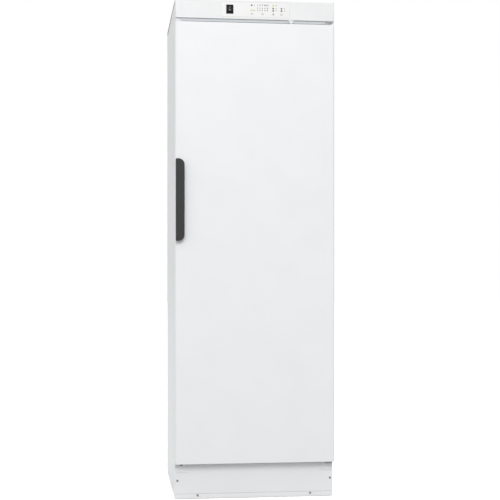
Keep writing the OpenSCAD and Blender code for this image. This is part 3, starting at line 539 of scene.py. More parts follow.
def galvanised(name, colour, roughness):
    """Hot-dip zinc whose crystals differ in tone and gloss."""
    surface = Surface(name, roughness, metallic=0.85)
    crystal = surface.cells(90, output=1)
    tone = surface.ranged(crystal, 0, 1, 0.1, 0.9)
    surface.paint(surface.mixed(tone, [part * 0.82 for part in colour], colour))
    gloss = surface.ranged(crystal, roughness - 0.1, roughness + 0.12, 0.1, 0.9)
    surface.tree.links.new(gloss, surface.shader.inputs["Roughness"])
    surface.bump(surface.cells(90, "DISTANCE_TO_EDGE"), 0.00003, 0.25)
    surface.bump(surface.noise(1200, 3), 0.00001, 0.3)
    return surface


def lens(name, colour, glow):
    """Diffusing lens of an indicator, with its lamp on where it glows."""
    surface = Surface(name, 0.25, specular=0.5, coat=0.3)
    shade = surface.mottle(colour, 0.05, 900)
    surface.tree.links.new(shade, surface.shader.inputs["Emission Color"])
    surface.shader.inputs["Emission Strength"].default_value = glow
    surface.bump(surface.noise(2500, 2), 0.00001, 0.2)
    return surface


def mineral_wool(name, colour):
    """Felted fibres in layers."""
    surface = Surface(name, 0.95, specular=0.15)
    surface.mottle(colour, 0.22, 420, 8, (1, 1, 0.35))
    surface.bump(surface.noise(650, 9, (1, 0.5, 0.3)), 0.0012, 0.8)
    surface.bump(surface.noise(2600, 4, (0.2, 1, 1)), 0.0003, 0.6)
    return surface


def foam(name, colour):
    """Cut rigid foam with fine open cells."""
    surface = Surface(name, 0.85, specular=0.2)
    surface.mottle(colour, 0.07, 60, 5)
    surface.bump(surface.cells(900, "DISTANCE_TO_EDGE"), 0.0004, 0.7)
    surface.bump(surface.noise(2200, 4), 0.0002, 0.4)
    return surface


def rubber(name, colour):
    """Extruded soft rubber with faint drawing lines and a bloom."""
    surface = Surface(name, 0.62, specular=0.35)
    surface.mottle(colour, 0.05, 45, 5)
    surface.vary_roughness(0.54, 0.7, 120)
    surface.bump(surface.noise(700, 3, (1, 1, 0.05)), 0.00003, 0.4)
    return surface


def circuit_board(name, colour):
    """Solder mask over branching copper tracks."""
    surface = Surface(name, 0.32, specular=0.5, coat=0.3)
    track = surface.cells(260, "DISTANCE_TO_EDGE", stretch=(1, 1, 2.2))
    copper = surface.ranged(track, 1, 0, 0.04, 0.07)
    surface.paint(surface.mixed(copper, colour, [part * 1.7 + 0.02 for part in colour]))
    surface.bump(copper, 0.00004, 0.5)
    surface.bump(surface.noise(1800, 2), 0.00001, 0.3)
    return surface


def printed(name, colour):
    """Screen-printed ink with a slightly uneven film."""
    surface = Surface(name, 0.55, specular=0.35)
    surface.mottle(colour, 0.1, 1400, 3)
    surface.bump(surface.noise(3000, 2), 0.00001, 0.3)
    return surface


def glow(name, base, colour, places):
    """Painted glow: base colour that turns to the lamp's colour near each place; a place is the
    middle and the reach across and up, in metres."""
    surface = Surface(name, 0.4, specular=0.4)
    nearest = None
    for (x, z), (across, up) in places:
        away = surface.vector("SUBTRACT", surface.place, (x, 0, z))[0]
        away = surface.vector("MULTIPLY", away, (1 / across, 0, 1 / up))[0]
        length = surface.vector("LENGTH", away)["Value"]
        nearest = length if nearest is None else surface.value("MINIMUM", nearest, length)
    surface.paint(surface.mixed(surface.ranged(nearest, 0, 1, 0.55, 1), colour, base))
    surface.bump(surface.noise(2500, 2), 0.00001, 0.2)
    return surface


FINISH_MAKERS = {
    "paint": lambda c: powder_coat("powder_coat_white", c.paint),
    "chamber": lambda c: powder_coat("chamber_enamel", c.chamber, 0.36),
    "fascia": lambda c: moulded("fascia_plastic", c.fascia, 0.4, 1400, 0.00001, 0.01),
    # The lip's grey is painted shade: darker than the fascia, it stands for the shade in the gap
    # above the door.
    "lip": lambda c: moulded("fascia_lip_painted_shade", (0.58, 0.605, 0.62), 0.45, 1200, 0.00002),
    "insert": lambda c: moulded("insert_plastic", c.insert, 0.34, 2200, 0.00001, 0.008),
    "button": lambda c: moulded(
        "button_plastic", [part * 0.97 for part in c.fascia], 0.36, 1800, 0.00001),
    "liner": lambda c: moulded("liner_plastic", c.liner, 0.38, 700, 0.00004, 0.015),
    "trim": lambda c: moulded("trim_plastic", c.fascia, 0.42, 1200, 0.00002),
    # Dark band finish is painted shade: the shadow line under the top cover on the side panels, and
    # the shadow in the gap above the bottom strip.
    "band": lambda c: moulded("painted_shade_band", (0.13, 0.13, 0.132), 0.5, 1200, 0.00003),
    "handle": lambda c: moulded("handle_grain", c.handle, 0.5, 900, 0.00006, 0.08, 0.3),
    "switch": lambda c: moulded("switch_gloss", c.switch, 0.24, 2400, 0.00001, 0.05, 0.12),
    "black": lambda c: moulded("black_plastic", (0.02, 0.02, 0.021), 0.5, 1000, 0.00005, 0.08),
    "motor": lambda c: moulded("motor_casting", (0.05, 0.05, 0.055), 0.48, 600, 0.0001, 0.1),
    "component": lambda c: moulded("component_plastic", (0.03, 0.035, 0.045), 0.4, amount=0.06),
    "terminal": lambda c: moulded("terminal_plastic", (0.09, 0.25, 0.13), 0.45, amount=0.06),
    "zinc": lambda c: galvanised("galvanised_sheet", (0.66, 0.67, 0.68), 0.42),
    "steel": lambda c: brushed("stainless_steel", (0.62, 0.61, 0.6), 0.32, (40, 900, 900)),
    "pin": lambda c: brushed("turned_steel", (0.58, 0.58, 0.58), 0.28, (60, 60, 2500)),
    "screw": lambda c: brushed("blackened_screws", (0.23, 0.23, 0.235), 0.5, (300, 300, 300), 0.5),
    "bracket": lambda c: brushed("blackened_steel", (0.3, 0.3, 0.305), 0.5, (300, 300, 900), 0.4),
    "wire": lambda c: brushed("plated_wire", (0.74, 0.74, 0.75), 0.24, (500, 1800, 1800)),
    "seal": lambda c: rubber("seal_rubber", c.seal),
    "wool": lambda c: mineral_wool("mineral_wool", (0.5, 0.42, 0.2)),
    "foam": lambda c: foam("rigid_foam", (0.82, 0.76, 0.55)),
    "board": lambda c: circuit_board("solder_mask", (0.02, 0.12, 0.05)),
    "ink": lambda c: printed("printed_ink", c.ink),
    "pale_ink": lambda c: printed("pale_ink", (0.34, 0.34, 0.34)),
    "white_ink": lambda c: printed("white_ink", (0.72, 0.72, 0.72)),
    "lens_off": lambda c: lens("lens_unlit", (0.03, 0.03, 0.03), 0),
    "lens_on": lambda c: lens("lens_lit", c.lamp, 0.1),
    "painted_halo": lambda c: glow("painted_lamp_glow", c.insert, (0.69, 0.72, 0.38), GLOWS),
}
FINISHES = {}


def finish(key):
    """The finish with that name, made when it is first asked for."""
    if key not in FINISHES:
        FINISHES[key] = FINISH_MAKERS[key](colours()).material
    return FINISHES[key]


# ---------------------------------------------------------------- operators


class CABINET_OT_side_panels(Operator):
    """Builds the side panels as sheets that are bent at the front and the rear"""

    bl_idname = "cabinet.side_panels"
    bl_label = "Side panels"
    bl_options = {"REGISTER", "UNDO"}

    def folded(self, node, side, bottom, top, inset=0):
        """Sheet of a side panel from one height to another, moved in from the outside."""
        sheet, rear_flange = 1.5, 15
        low, high = span(node)
        outer, inner = (high.x, low.x) if side > 0 else (-low.x, -high.x)
        wall = side * (outer - sheet / 2 - inset)
        front, rear = low.y + sheet / 2, high.y - sheet / 2
        line = [(side * inner, front), (wall, front), (wall, rear),
                (side * (outer - rear_flange), rear)]
        outline = bent_strip(line, edge_radius("sheet_bend") - sheet / 2, sheet)
        return extruded(outline, (0, 0, bottom), X_AXIS, Y_AXIS, Z_AXIS, top - bottom)

    def execute(self, context):
        # The dark band along the top of each side panel is painted shade: it stands in for the
        # shadow under the top cover's edge, and grows taller towards the rear.
        shade_band_h, shade_band_fall, shade_band_inset, overlap = 10, 7, 0.4, 1
        for node, side in (("side_panel_left", -1), ("side_panel_right", 1)):
            low, high = span(node)
            top = high.z - shade_band_h
            mesh = self.folded(node, side, low.z, top)
            for vert in mesh.verts:
                if vert.co.z > top - NEAR:
                    vert.co.z -= shade_band_fall * (vert.co.y - low.y) / (high.y - low.y)
            top -= shade_band_fall
            round_edges(mesh, edge_radius("cut"),
                        lambda p: p.z < low.z + NEAR or p.z > top - NEAR, 2)
            trim = self.folded(node, side, top - overlap, high.z, shade_band_inset)
            link_finished(node, joined(mesh, trim, finish_index=1), ["paint", "band"])
        return {"FINISHED"}


class CABINET_OT_back_panel(Operator):
    """Builds the back panel with a hood over each air slot and stiffening beads"""

    bl_idname = "cabinet.back_panel"
    bl_label = "Back panel"
    bl_options = {"REGISTER", "UNDO"}

    def execute(self, context):
        slot_z, slot_h, slot_pitch, slot_count = 1701.5, 6, 14, 8
        hood_l, hood_end_t, hood_back = 124, 0.8, -3.4
        bead_r, bead_rise = 10, 2.2
        high = span("back_panel")[1]
        rear = high.y
        mesh = round_edges(copy_of("back_panel"), edge_radius("cut"),
                           lambda p: abs(p.x) > high.x - NEAR or p.z > high.z - NEAR)
        curve = [(0, 4.4), (2.2, 3.9), (3.8, 2.4), (4.6, 0.2), (4.8, hood_back)]
        skin = [(4.0, hood_back), (3.8, 0), (3.1, 1.8), (1.8, 3.1), (0, 3.5)]
        for i in range(slot_count):
            top = slot_z + i * slot_pitch + slot_h
            start = (-hood_l / 2, rear, top)
            joined(mesh, extruded(curve + skin, start, Y_AXIS, Z_AXIS, X_AXIS, hood_l))
            for x in (-hood_l / 2, hood_l / 2 - hood_end_t):
                joined(mesh, extruded(curve + [(0, hood_back)], (x, rear, top),
                                      Y_AXIS, Z_AXIS, X_AXIS, hood_end_t))
        beads = [((x, rear, 180), (x, rear, 1560)) for x in (-190, 0, 190)]
        beads += [((-230, rear, z), (230, rear, z)) for z in (110, 1630)]
        for start, end in beads:
            joined(mesh, pressed_bead(start, end, bead_r, bead_rise, Y_AXIS))
        link_finished("back_panel", mesh, ["zinc"])
        return {"FINISHED"}


class CABINET_OT_casing_sheets(Operator):
    """Rounds the edges of the casing's flat sheets, brackets and screws"""

    bl_idname = "cabinet.casing_sheets"
    bl_label = "Casing sheets"
    bl_options = {"REGISTER", "UNDO"}

    def execute(self, context):
        cut, cover_r, front_r, bracket_r, screw_r = edge_radius("cut"), 0.7, 0.6, 0.5, 0.35
        leg_screw_z, leg_reach = 110.5, 6
        cover_top = span("top_cover")[1].z
        dress_node("top_cover", ["paint"], (cover_r, lambda p: p.z > cover_top - NEAR))
        dress_node("plinth_panel", ["paint"], (front_r, at_front(span("plinth_panel")[0])))
        self.bottom_strip(front_r)
        for node in ("front_rail_top", "front_sill"):
            dress_node(node, ["paint"], cut)
        dress_node("base_plate", ["zinc"], cut)
        dress_node("wall_brackets", ["zinc"], bracket_r)
        dress_node("casing_screws", ["screw", "paint"], screw_r,
                   marks=[(1, lambda p: abs(p.z - leg_screw_z) < leg_reach and p.y < 0)])
        return {"FINISHED"}

    def bottom_strip(self, front_r):
        """Strip under the plinth, with a dark block in the gap between them as painted shade of the
        gap.
        """
        bottom_r, seam_inset, seam_below, seam_above, seam_back = 1.2, 0.3, 0.4, 0.55, 0.7
        low, high = span("bottom_strip")
        mesh = copy_of("bottom_strip")
        round_edges(mesh, bottom_r, lambda p: p.y < low.y + NEAR and p.z < low.z + NEAR, 4)
        round_edges(mesh, front_r, lambda p: p.y < low.y + NEAR and p.z > low.z + bottom_r)
        # The dark block that fills the gap above the strip is painted shade of the gap.
        left, right = low.x + seam_inset, high.x - seam_inset
        under, over = high.z - seam_below, high.z + seam_above
        painted_seam_shade = extruded([(left, under), (right, under), (right, over), (left, over)],
                        (0, high.y, 0), X_AXIS, Z_AXIS, -Y_AXIS, high.y - low.y - seam_back)
        link_finished("bottom_strip", joined(mesh, painted_seam_shade, finish_index=1), ["paint", "band"])


class CABINET_OT_services(Operator):
    """Builds the exhaust duct with its beaded collar and the ribbed cord gland"""

    bl_idname = "cabinet.services"
    bl_label = "Exhaust and gland"
    bl_options = {"REGISTER", "UNDO"}

    def execute(self, context):
        self.exhaust_duct()
        self.cord_gland()
        return {"FINISHED"}

    def exhaust_duct(self):
        low, high = span("exhaust_duct")
        centre = Vector(((low.x + high.x) / 2, (low.y + high.y) / 2, 0))
        flange, collar, wall, cover = (high.x - low.x) / 2, 49.5, 1.5, span("top_cover")[1].z
        section = [(low.z, collar - wall), (low.z, flange - 0.6), (low.z + 0.5, flange),
                   (low.z + 1.2, flange), (low.z + wall, flange - 0.5), (low.z + wall, collar + 2),
                   (low.z + 2.3, collar + 0.2), (low.z + 4.2, collar - 0.5), (cover, collar - 0.5)]
        for start in (cover + 8, cover + 19):
            section += [(start - 3, collar), (start - 1.5, collar - 0.2), (start, collar - 1),
                        (start + 1.5, collar - 0.2), (start + 3, collar)]
        section += [(high.z - 0.8, collar), (high.z - 0.2, collar - 0.3), (high.z, collar - 0.8),
                    (high.z - 0.3, collar - 1.4), (high.z - 1.2, collar - wall)]
        link_finished("exhaust_duct", turned(section, centre, Z_AXIS, 72, ring=True), ["zinc"])

    def cord_gland(self):
        low, high = span("cord_gland")
        nut_r, nut_h, body_r, bore_r, panel = 13, 3, 9, 4, span("back_panel")[1].y
        rib_pitch, rib_deep = 1.8, 0.5
        centre = Vector(((low.x + high.x) / 2, 0, (low.z + high.z) / 2))
        section = [(low.y, bore_r), (low.y, body_r - 0.8), (low.y + 0.8, body_r)]
        y = low.y + 2
        while y < panel - 2:
            section += [(y, body_r), (y + 0.7, body_r - rib_deep), (y + 1.4, body_r)]
            y += rib_pitch
        section += [(panel + 3, body_r), (panel + 3.4, body_r - 0.2), (high.y - 3.5, body_r - 0.4),
                    (high.y - 1, body_r - 1.2), (high.y, body_r - 2.6), (high.y, bore_r + 0.8),
                    (high.y - 0.8, bore_r)]
        mesh = turned(section, centre, Y_AXIS, 40, ring=True)
        nut = extruded(hexagon(nut_r), centre + Y_AXIS * panel, X_AXIS, Z_AXIS, Y_AXIS, nut_h)
        link_finished("cord_gland", joined(mesh, round_edges(nut, 0.6, segments=2)), ["black"])


class CABINET_OT_feet(Operator):
    """Builds the levelling feet with a threaded rod each"""

    bl_idname = "cabinet.feet"
    bl_label = "Feet"
    bl_options = {"REGISTER", "UNDO"}

    def execute(self, context):
        pad_r, pad_h, nut_r, nut_h, rod_r, pitch = 20, 8, 10, 6, 5, 1.5
        core_r, sunk = rod_r - 0.8, 0.2
        for node in ("foot_1", "foot_2", "foot_3", "foot_4"):
            low, high = span(node)
            centre = Vector(((low.x + high.x) / 2, (low.y + high.y) / 2, 0))
            pad = [(0, pad_r - 1.5), (0.5, pad_r - 0.4), (1.6, pad_r), (pad_h - 3.5, pad_r - 0.6),
                   (pad_h - 1.2, pad_r - 2.2), (pad_h - 0.3, pad_r - 4.5), (pad_h, pad_r - 7)]
            nut = extruded(hexagon(nut_r), centre + Z_AXIS * (pad_h - sunk), X_AXIS, Y_AXIS,
                           Z_AXIS, nut_h + sunk)
            mesh = joined(turned(pad, centre, Z_AXIS, 48), round_edges(nut, 0.7, segments=2))
            thread, z = [(pad_h + nut_h - sunk, rod_r - 0.9)], pad_h + nut_h
            while z < high.z - 2 * pitch:
                thread += [(z, core_r), (z + pitch / 2, rod_r)]
                z += pitch
            thread += [(z, core_r), (high.z - 0.8, core_r), (high.z, core_r - 1)]
            joined(mesh, turned(thread, centre, Z_AXIS, 28), finish_index=1)
            link_finished(node, mesh, ["black", "pin"])
        return {"FINISHED"}


class CABINET_OT_chamber_walls(Operator):
    """Builds the chamber's walls, floor and ceiling with pressed beads"""

    bl_idname = "cabinet.chamber_walls"
    bl_label = "Chamber walls"
    bl_options = {"REGISTER", "UNDO"}

    def execute(self, context):
        cut, sheet, bead_r, bead_rise = edge_radius("cut"), 1.5, 12, 2
        slot_r, slot_reach = 0.4, 250
        wall_face = span("inner_side_walls")[1].x - sheet
        walls = round_edges(copy_of("inner_side_walls"), cut)
        for side in (-1, 1):
            x = side * wall_face
            for y in (-200, -20, 160):
                joined(walls, pressed_bead((x, y, 240), (x, y, 1540), bead_r, bead_rise,
                                           -side * X_AXIS))
        link_finished("inner_side_walls", walls, ["chamber"])
        y = span("inner_back_wall")[0].y
        back = round_edges(copy_of("inner_back_wall"), cut)
        for z in (330, 520, 790, 970, 1250, 1420):
            joined(back, pressed_bead((-190, y, z), (190, y, z), bead_r, bead_rise, -Y_AXIS))
        link_finished("inner_back_wall", back, ["chamber"])
        dress_node("chamber_ceiling", ["chamber"], (slot_r, lambda p: abs(p.x) < slot_reach))
        dress_node("chamber_floor", ["chamber"], cut)
        return {"FINISHED"}


class CABINET_OT_drip_tray(Operator):
    """Builds the drip tray with round corners, a rolled rim and drain ribs"""

    bl_idname = "cabinet.drip_tray"
    bl_label = "Drip tray"
    bl_options = {"REGISTER", "UNDO"}

    def execute(self, context):
        corner_r, least_r, rib_r, rib_rise, rib_reach, floor_t = 22, 5, 5, 1.6, 140, 1.3
        low, high = span("drip_tray")
        size, centre, depth = high - low, (low + high) / 2, high.z - low.z
        section = [(16, 0), (9, 0.6), (5.5, 3), (4, 7), (2.6, depth - 4), (0.8, depth - 3.4),
                   (0, depth - 1.8), (0.7, depth - 0.4), (2, depth), (3.4, depth - 0.5),
                   (4, depth - 1.8), (5.2, 7.5), (6.8, 4), (10, 2), (16, 1.4)]
        rings = []
        for inset, rise in section:
            outline = rounded_rectangle(size.x - 2 * inset, size.y - 2 * inset,
                                        max(corner_r - inset, least_r), 8)
            rings.append([Vector((centre.x + x, centre.y + y, low.z + rise)) for x, y in outline])
        mesh, z = lofted(rings), low.z + floor_t
        for x in range(-150, 151, 50):
            start, end = (x, centre.y - rib_reach, z), (x, centre.y + rib_reach, z)
            joined(mesh, pressed_bead(start, end, rib_r, rib_rise, Z_AXIS, 6, 3))
        link_finished("drip_tray", mesh, ["steel"])
        return {"FINISHED"}


class CABINET_OT_racks(Operator):
    """Builds the racks with welded rods, and the brackets and rests that carry them"""

    bl_idname = "cabinet.racks"
    bl_label = "Racks"
    bl_options = {"REGISTER", "UNDO"}

    def execute(self, context):
        rod_r, rod_count, rod_pitch, front_y = 4, 8, 330 / 7, -135
        weld, frame_r, bracket_r, rest_r = 1.6, 0.7, 0.5, 0.9
        weld_section = [(0, weld), (0.5, weld * 0.85), (1.4, weld * 0.35), (2.8, 0)]
        for rack in ("rack_high", "rack_middle", "rack_low"):
            dress_node(rack + "_frame", ["wire"], frame_r)
            low, high = span(rack + "_rods")
            length, z = high.x - low.x, (low.z + high.z) / 2
            section = [(step, rod_r + swell) for step, swell in weld_section]
            section += [(length - step, rod_r + swell) for step, swell in reversed(weld_section)]
            rods = [turned(section, (low.x, front_y + i * rod_pitch, z), X_AXIS, 24)
                    for i in range(rod_count)]
            link_finished(rack + "_rods", joined(*rods), ["wire"])
        dress_node("rack_brackets", ["zinc"], bracket_r)
        dress_node("rack_rests", ["zinc"], rest_r)
        return {"FINISHED"}


class CABINET_OT_door_shell(Operator):
    """Builds the door's outer sheet, its liner with a sealing bead, and its corner cap"""

    bl_idname = "cabinet.door_shell"
    bl_label = "Door shell"
    bl_options = {"REGISTER", "UNDO"}

    def execute(self, context):
        self.outer_skin()
        self.inner_liner()
        dress_node("door_corner_cap", ["trim"], edge_radius("moulded"))
        return {"FINISHED"}

    def outer_skin(self):
        """Outer sheet, with its ends rounded along the front but not round the bushes."""
        side_depth, fold_y, bush_reach = 12, 9.2, 8
        low, high = span("door_outer_skin")
        pivot = joint_place("door_hinge")

        def on_rim(point):
            at_end = point.z < low.z + NEAR or point.z > high.z - NEAR
            at_side = point.y < low.y + side_depth and abs(point.x) > high.x - NEAR
            outside = point.y < low.y + fold_y or at_side
            return at_end and outside and off_axis(point, pivot) > bush_reach

        dress_node("door_outer_skin", ["paint"], (edge_radius("door_rim"), on_rim), segments=4)

    def inner_liner(self):
        """Liner with a raised bead round the seal and two framed fields."""
        high = span("door_inner_liner")[1]
        mesh = round_edges(copy_of("door_inner_liner"), edge_radius("moulded"),
                           lambda p: p.y > high.y - NEAR)
        bead = [(0, -0.4), (0, 1.4), (1.2, 2.6), (3, 3.2), (7, 3.2), (8.8, 2.6), (10, 1.4),
                (10, -0.4)]
        joined(mesh, framed(bead, (-250, 168), (250, 1634), high.y))
        field_rim = [(0, -0.3), (0.6, 1), (2, 1.8), (4, 1.8), (5.4, 1), (6, -0.3)]
        for bottom, top in ((210, 780), (1010, 1590)):
            joined(mesh, framed(field_rim, (-205, bottom), (205, top), high.y))
        link_finished("door_inner_liner", mesh, ["liner"])


class CABINET_OT_insulation(Operator):
    """Builds the door's foam and the mineral wool round the chamber as soft slabs"""

    bl_idname = "cabinet.insulation"
    bl_label = "Insulation"
    bl_options = {"REGISTER", "UNDO"}

    def execute(self, context):
        corner_r, long_edge, cuts = 3, 60, 24
        for node, key, depth, wave in (("door_insulation", "foam", 0.5, 0.02),
                                       ("wall_insulation", "wool", 1.2, 0.035)):
            mesh = round_edges(copy_of(node), corner_r)
            longest = [edge for edge in mesh.edges if edge.calc_length() > long_edge]
            bmesh.ops.subdivide_edges(mesh, edges=longest, cuts=cuts, use_grid_fill=True)
            mesh.normal_update()
            for vert in mesh.verts:
                dip = noise.noise(vert.co * wave) * 0.5 + 0.5
                vert.co -= vert.normal * dip * depth
            link_finished(node, mesh, [key])
        return {"FINISHED"}


class CABINET_OT_door_seal(Operator):
    """Builds the door seal as a rubber bellows round the chamber's mouth"""

    bl_idname = "cabinet.door_seal"
    bl_label = "Door seal"
    bl_options = {"REGISTER", "UNDO"}

    def execute(self, context):
        low, high = span("door_gasket")
        width, depth = 9, high.y - low.y
        section = [(0.6, 0), (0, 0.5), (0.6, 1.1), (0.2, 1.7), (0.9, 2.4), (0.8, depth - 0.7),
                   (1.6, depth - 0.1), (3.2, depth), (4.4, depth - 0.8), (5.6, depth),
                   (width - 1.6, depth - 0.1), (width - 0.7, depth - 0.8), (width - 0.9, 2.4),
                   (width - 0.2, 1.7), (width - 0.6, 1.1), (width, 0.5), (width - 0.6, 0)]
        mouth = (low.x + width, low.z + width), (high.x - width, high.z - width)
        link_finished("door_gasket", framed(section, *mouth, low.y), ["seal"])
        return {"FINISHED"}


class CABINET_OT_handle(Operator):
    """Builds the door handle with a rounded grip plate, and its screws"""

    bl_idname = "cabinet.handle"
    bl_label = "Handle"
    bl_options = {"REGISTER", "UNDO"}

    def execute(self, context):
        plate_t, outer_strip, screw_r = 4, 1, 0.5
        low, high = span("door_handle")

        def on_legs(point):
            between_plates = low.y + plate_t < point.y < high.y - NEAR
            return between_plates and point.x > low.x + outer_strip

        dress_node("door_handle", ["handle"], (edge_radius("handle"), at_front(low)),
                   (edge_radius("moulded"), on_legs), segments=4)
        dress_node("handle_screws", ["pin"], screw_r)
        return {"FINISHED"}


class CABINET_OT_hinges(Operator):
    """Builds the hinge brackets, the blank plate and the door's bushes"""

    bl_idname = "cabinet.hinges"
    bl_label = "Hinges"
    bl_options = {"REGISTER", "UNDO"}

    def execute(self, context):
        edge_r, bush_r, pivot = 0.45, 0.3, joint_place("door_hinge")
        pin_reach, pin_foot, collar_reach, collar_top = 4.5, 131.6, 7, 1775.9
        leaf_bottom, nose_y = 128.4, -286.8

        def on_pin(point):
            return off_axis(point, pivot) < pin_reach

        def on_collar(point):
            return pin_reach <= off_axis(point, pivot) < collar_reach and point.z < collar_top

        dress_node("hinge_upper", ["bracket", "pin", "trim"], edge_r,
                   marks=[(1, on_pin), (2, on_collar)])
        # The front of the lower hinge's nose takes the blackened steel finish: a dark part that
        # also serves as painted shade under the door's bottom edge.
        dress_node("hinge_lower", ["paint", "pin", "bracket"], edge_r,
                   marks=[(2, lambda p: p.z > leaf_bottom and p.y < nose_y),
                          (1, lambda p: on_pin(p) and p.z > pin_foot)])
        self.blank_plate(edge_r)
        dress_node("door_bushes", ["trim"], bush_r)
        return {"FINISHED"}

    def blank_plate(self, edge_r):
        """Plate under the door on the side without a hinge, with a plug in its slot."""
        plug_w, plug_h, plug_r, plug_t, plug_z = 12, 4.6, 2.2, 2.2, 128.5
        low, high = span("hinge_blank")
        plug = extruded(rounded_rectangle(plug_w, plug_h, plug_r, 5),
                        ((low.x + high.x) / 2, high.y - 1, plug_z), X_AXIS, Z_AXIS, -Y_AXIS, plug_t)
        mesh = round_edges(copy_of("hinge_blank"), edge_r)
        joined(mesh, round_edges(plug, 0.4, segments=2), finish_index=1)
        link_finished("hinge_blank", mesh, ["paint", "black"])


class CABINET_OT_glove_pegs(Operator):
    """Builds the glove pegs with flared feet, and their rails"""

    bl_idname = "cabinet.glove_pegs"
    bl_label = "Glove pegs"
    bl_options = {"REGISTER", "UNDO"}

    def execute(self, context):
        peg_r, peg_count, rail_r = 4, 8, 0.6
        dress_node("glove_rails", ["zinc"], rail_r)
        low, high = span("glove_pegs")
        pitch = (high.x - low.x - 2 * peg_r) / (peg_count - 1)
        length = high.y - low.y
        section = [(0, 7), (0.8, 7), (1.6, 6.2), (2.6, 5), (4.5, 4.2), (7, peg_r)]
        tip = arc((0, 0), peg_r, 0, 84, 7)
        section += [(length - peg_r + rise, radius) for radius, rise in tip]
        pegs = [turned(section, (low.x + peg_r + i * pitch, low.y, z), Y_AXIS, 28)
                for z in (low.z + peg_r, high.z - peg_r) for i in range(peg_count)]
        link_finished("glove_pegs", joined(*pegs), ["trim"])
        return {"FINISHED"}


class CABINET_OT_fascia(Operator):
    """Builds the control fascia, its display insert with printed marks, and the door switch"""

    bl_idname = "cabinet.fascia"
    bl_label = "Control fascia"
    bl_options = {"REGISTER", "UNDO"}

    def execute(self, context):
        moulded_edge, corner_r, lower_depth = edge_radius("moulded"), 5, 15
        recess_reach, recess_r, insert_r = 128, 0.4, 0.3
        low, high = span("control_fascia")
        corner_y = low.y + corner_r + 1.5
        mesh = copy_of("control_fascia")
        round_edges(mesh, corner_r,
                    lambda p: abs(p.x) > high.x - NEAR and p.z > low.z + 1 and p.y < corner_y, 5)
        round_edges(mesh, moulded_edge,
                    lambda p: p.z < low.z + NEAR and p.y < low.y + lower_depth)
        round_edges(mesh, recess_r, lambda p: abs(p.x) < recess_reach and p.y < low.y + NEAR)
        # The lip takes the grey lip finish, which is painted shade of the gap under the fascia.
        link_finished("control_fascia", joined(mesh, self.lip(low), finish_index=1),
                      ["fascia", "lip"])
        front = span("display_insert")[0]
        dress_node("display_insert", ["insert"], (insert_r, at_front(front)))
        dress_node("door_switch_housing", ["trim"], moulded_edge)
        self.print_marks(front.y)
        return {"FINISHED"}

    def lip(self, low):
        """Lip under the fascia, clear of the door's corner cap and the hinge's plate."""
        thickness, back, edge_r, top = 1.8, 5.5, 0.3, low.z + 1
        cap_top, door_top, plate_bottom, plate_top = 1780.9, 1772.4, 1775.6, 1779.4
        outline = [(-296, top), (-296, cap_top), (-294, cap_top), (-275.3, door_top),
                   (279, door_top), (279, plate_bottom), (263.5, plate_bottom),
                   (263.5, plate_top), (294.8, plate_top), (294.8, door_top), (297, door_top),
                   (297, top)]
        lip = extruded(outline, (0, low.y + back + thickness, 0), X_AXIS, Z_AXIS, -Y_AXIS,
                       thickness)
        return round_edges(lip, edge_r, segments=2)

    def print_marks(self, y):
        """Figures in three rows, signs beside the lenses and a ring round each unlit lens."""
        top, middle, bottom = rows = [z + 0.3 for z in LENS_Z]
        figure_x, top_figure_h, figure_h = (8.2, 17, 26, 35.7, 44.9), 5.5, 4.4
        marks = bmesh.new()
        for column, x in enumerate(figure_x):
            for row, z in enumerate(rows):
                height = top_figure_h if row == 0 else figure_h
                joined(marks, figure_mark(str(column * 3 + row + 1), x, y, z, height))
        joined(marks, ring_mark(-4.2, y, top, 1.9, 0.9), ring_mark(-4.2, y, bottom, 2.3, 1.4))
        for x, z in ((78, top), (78, middle), (78, bottom), (109, middle), (109, bottom)):
            joined(marks, bar_mark(x, y, z + 0.9, 4.4, 1.0), bar_mark(x - 0.6, y, z - 0.9, 3, 1.1))
        for column, row in UNLIT_LENSES:
            joined(marks, ring_mark(LENS_X[column], y, LENS_Z[row], 3.1, 1.6))
        link_piece("insert_print", marks, ["ink"], "cabinet")


class CABINET_OT_mains_switch(Operator):
    """Builds the mains switch with its hollowed rocker and ON and OFF marks"""

    bl_idname = "cabinet.mains_switch"
    bl_label = "Mains switch"
    bl_options = {"REGISTER", "UNDO"}

    def execute(self, context):
        frame_r, rocker_r, mark_t = 0.5, 0.4, 0.12
        waist, face, reach, rest_tilt = 4.6, 6.4, 10.75, math.radians(-7)
        slope = math.atan2(face - waist, reach)
        dress_node("switch_bezel", ["switch"], frame_r)
        mesh = round_edges(copy_of("switch_rocker"), rocker_r)
        at_rest = (Matrix.Translation(joint_place("rocker_tilt"))
                   @ Matrix.Rotation(rest_tilt, 4, "X"))
        bar = extruded(rounded_rectangle(0.8, 3.6, 0.3, 3), (0, 0, 0), X_AXIS, Z_AXIS, -Y_AXIS,
                       mark_t)
        circle = turned([(0, 1.1), (0, 1.9), (mark_t, 1.9), (mark_t, 1.1)], (0, 0, 0), -Y_AXIS,
                        28, ring=True)
        for mark, half, rise in ((bar, 1, 7), (circle, -1, -3.4)):
            depth = waist + (face - waist) * abs(rise) / reach
            on_face = (Matrix.Translation((0, -depth, rise))
                       @ Matrix.Rotation(half * slope, 4, "X"))
            bmesh.ops.transform(mark, matrix=at_rest @ on_face, verts=mark.verts)
            joined(mesh, mark, finish_index=1)
        link_finished("switch_rocker", mesh, ["switch", "white_ink"])
        return {"FINISHED"}


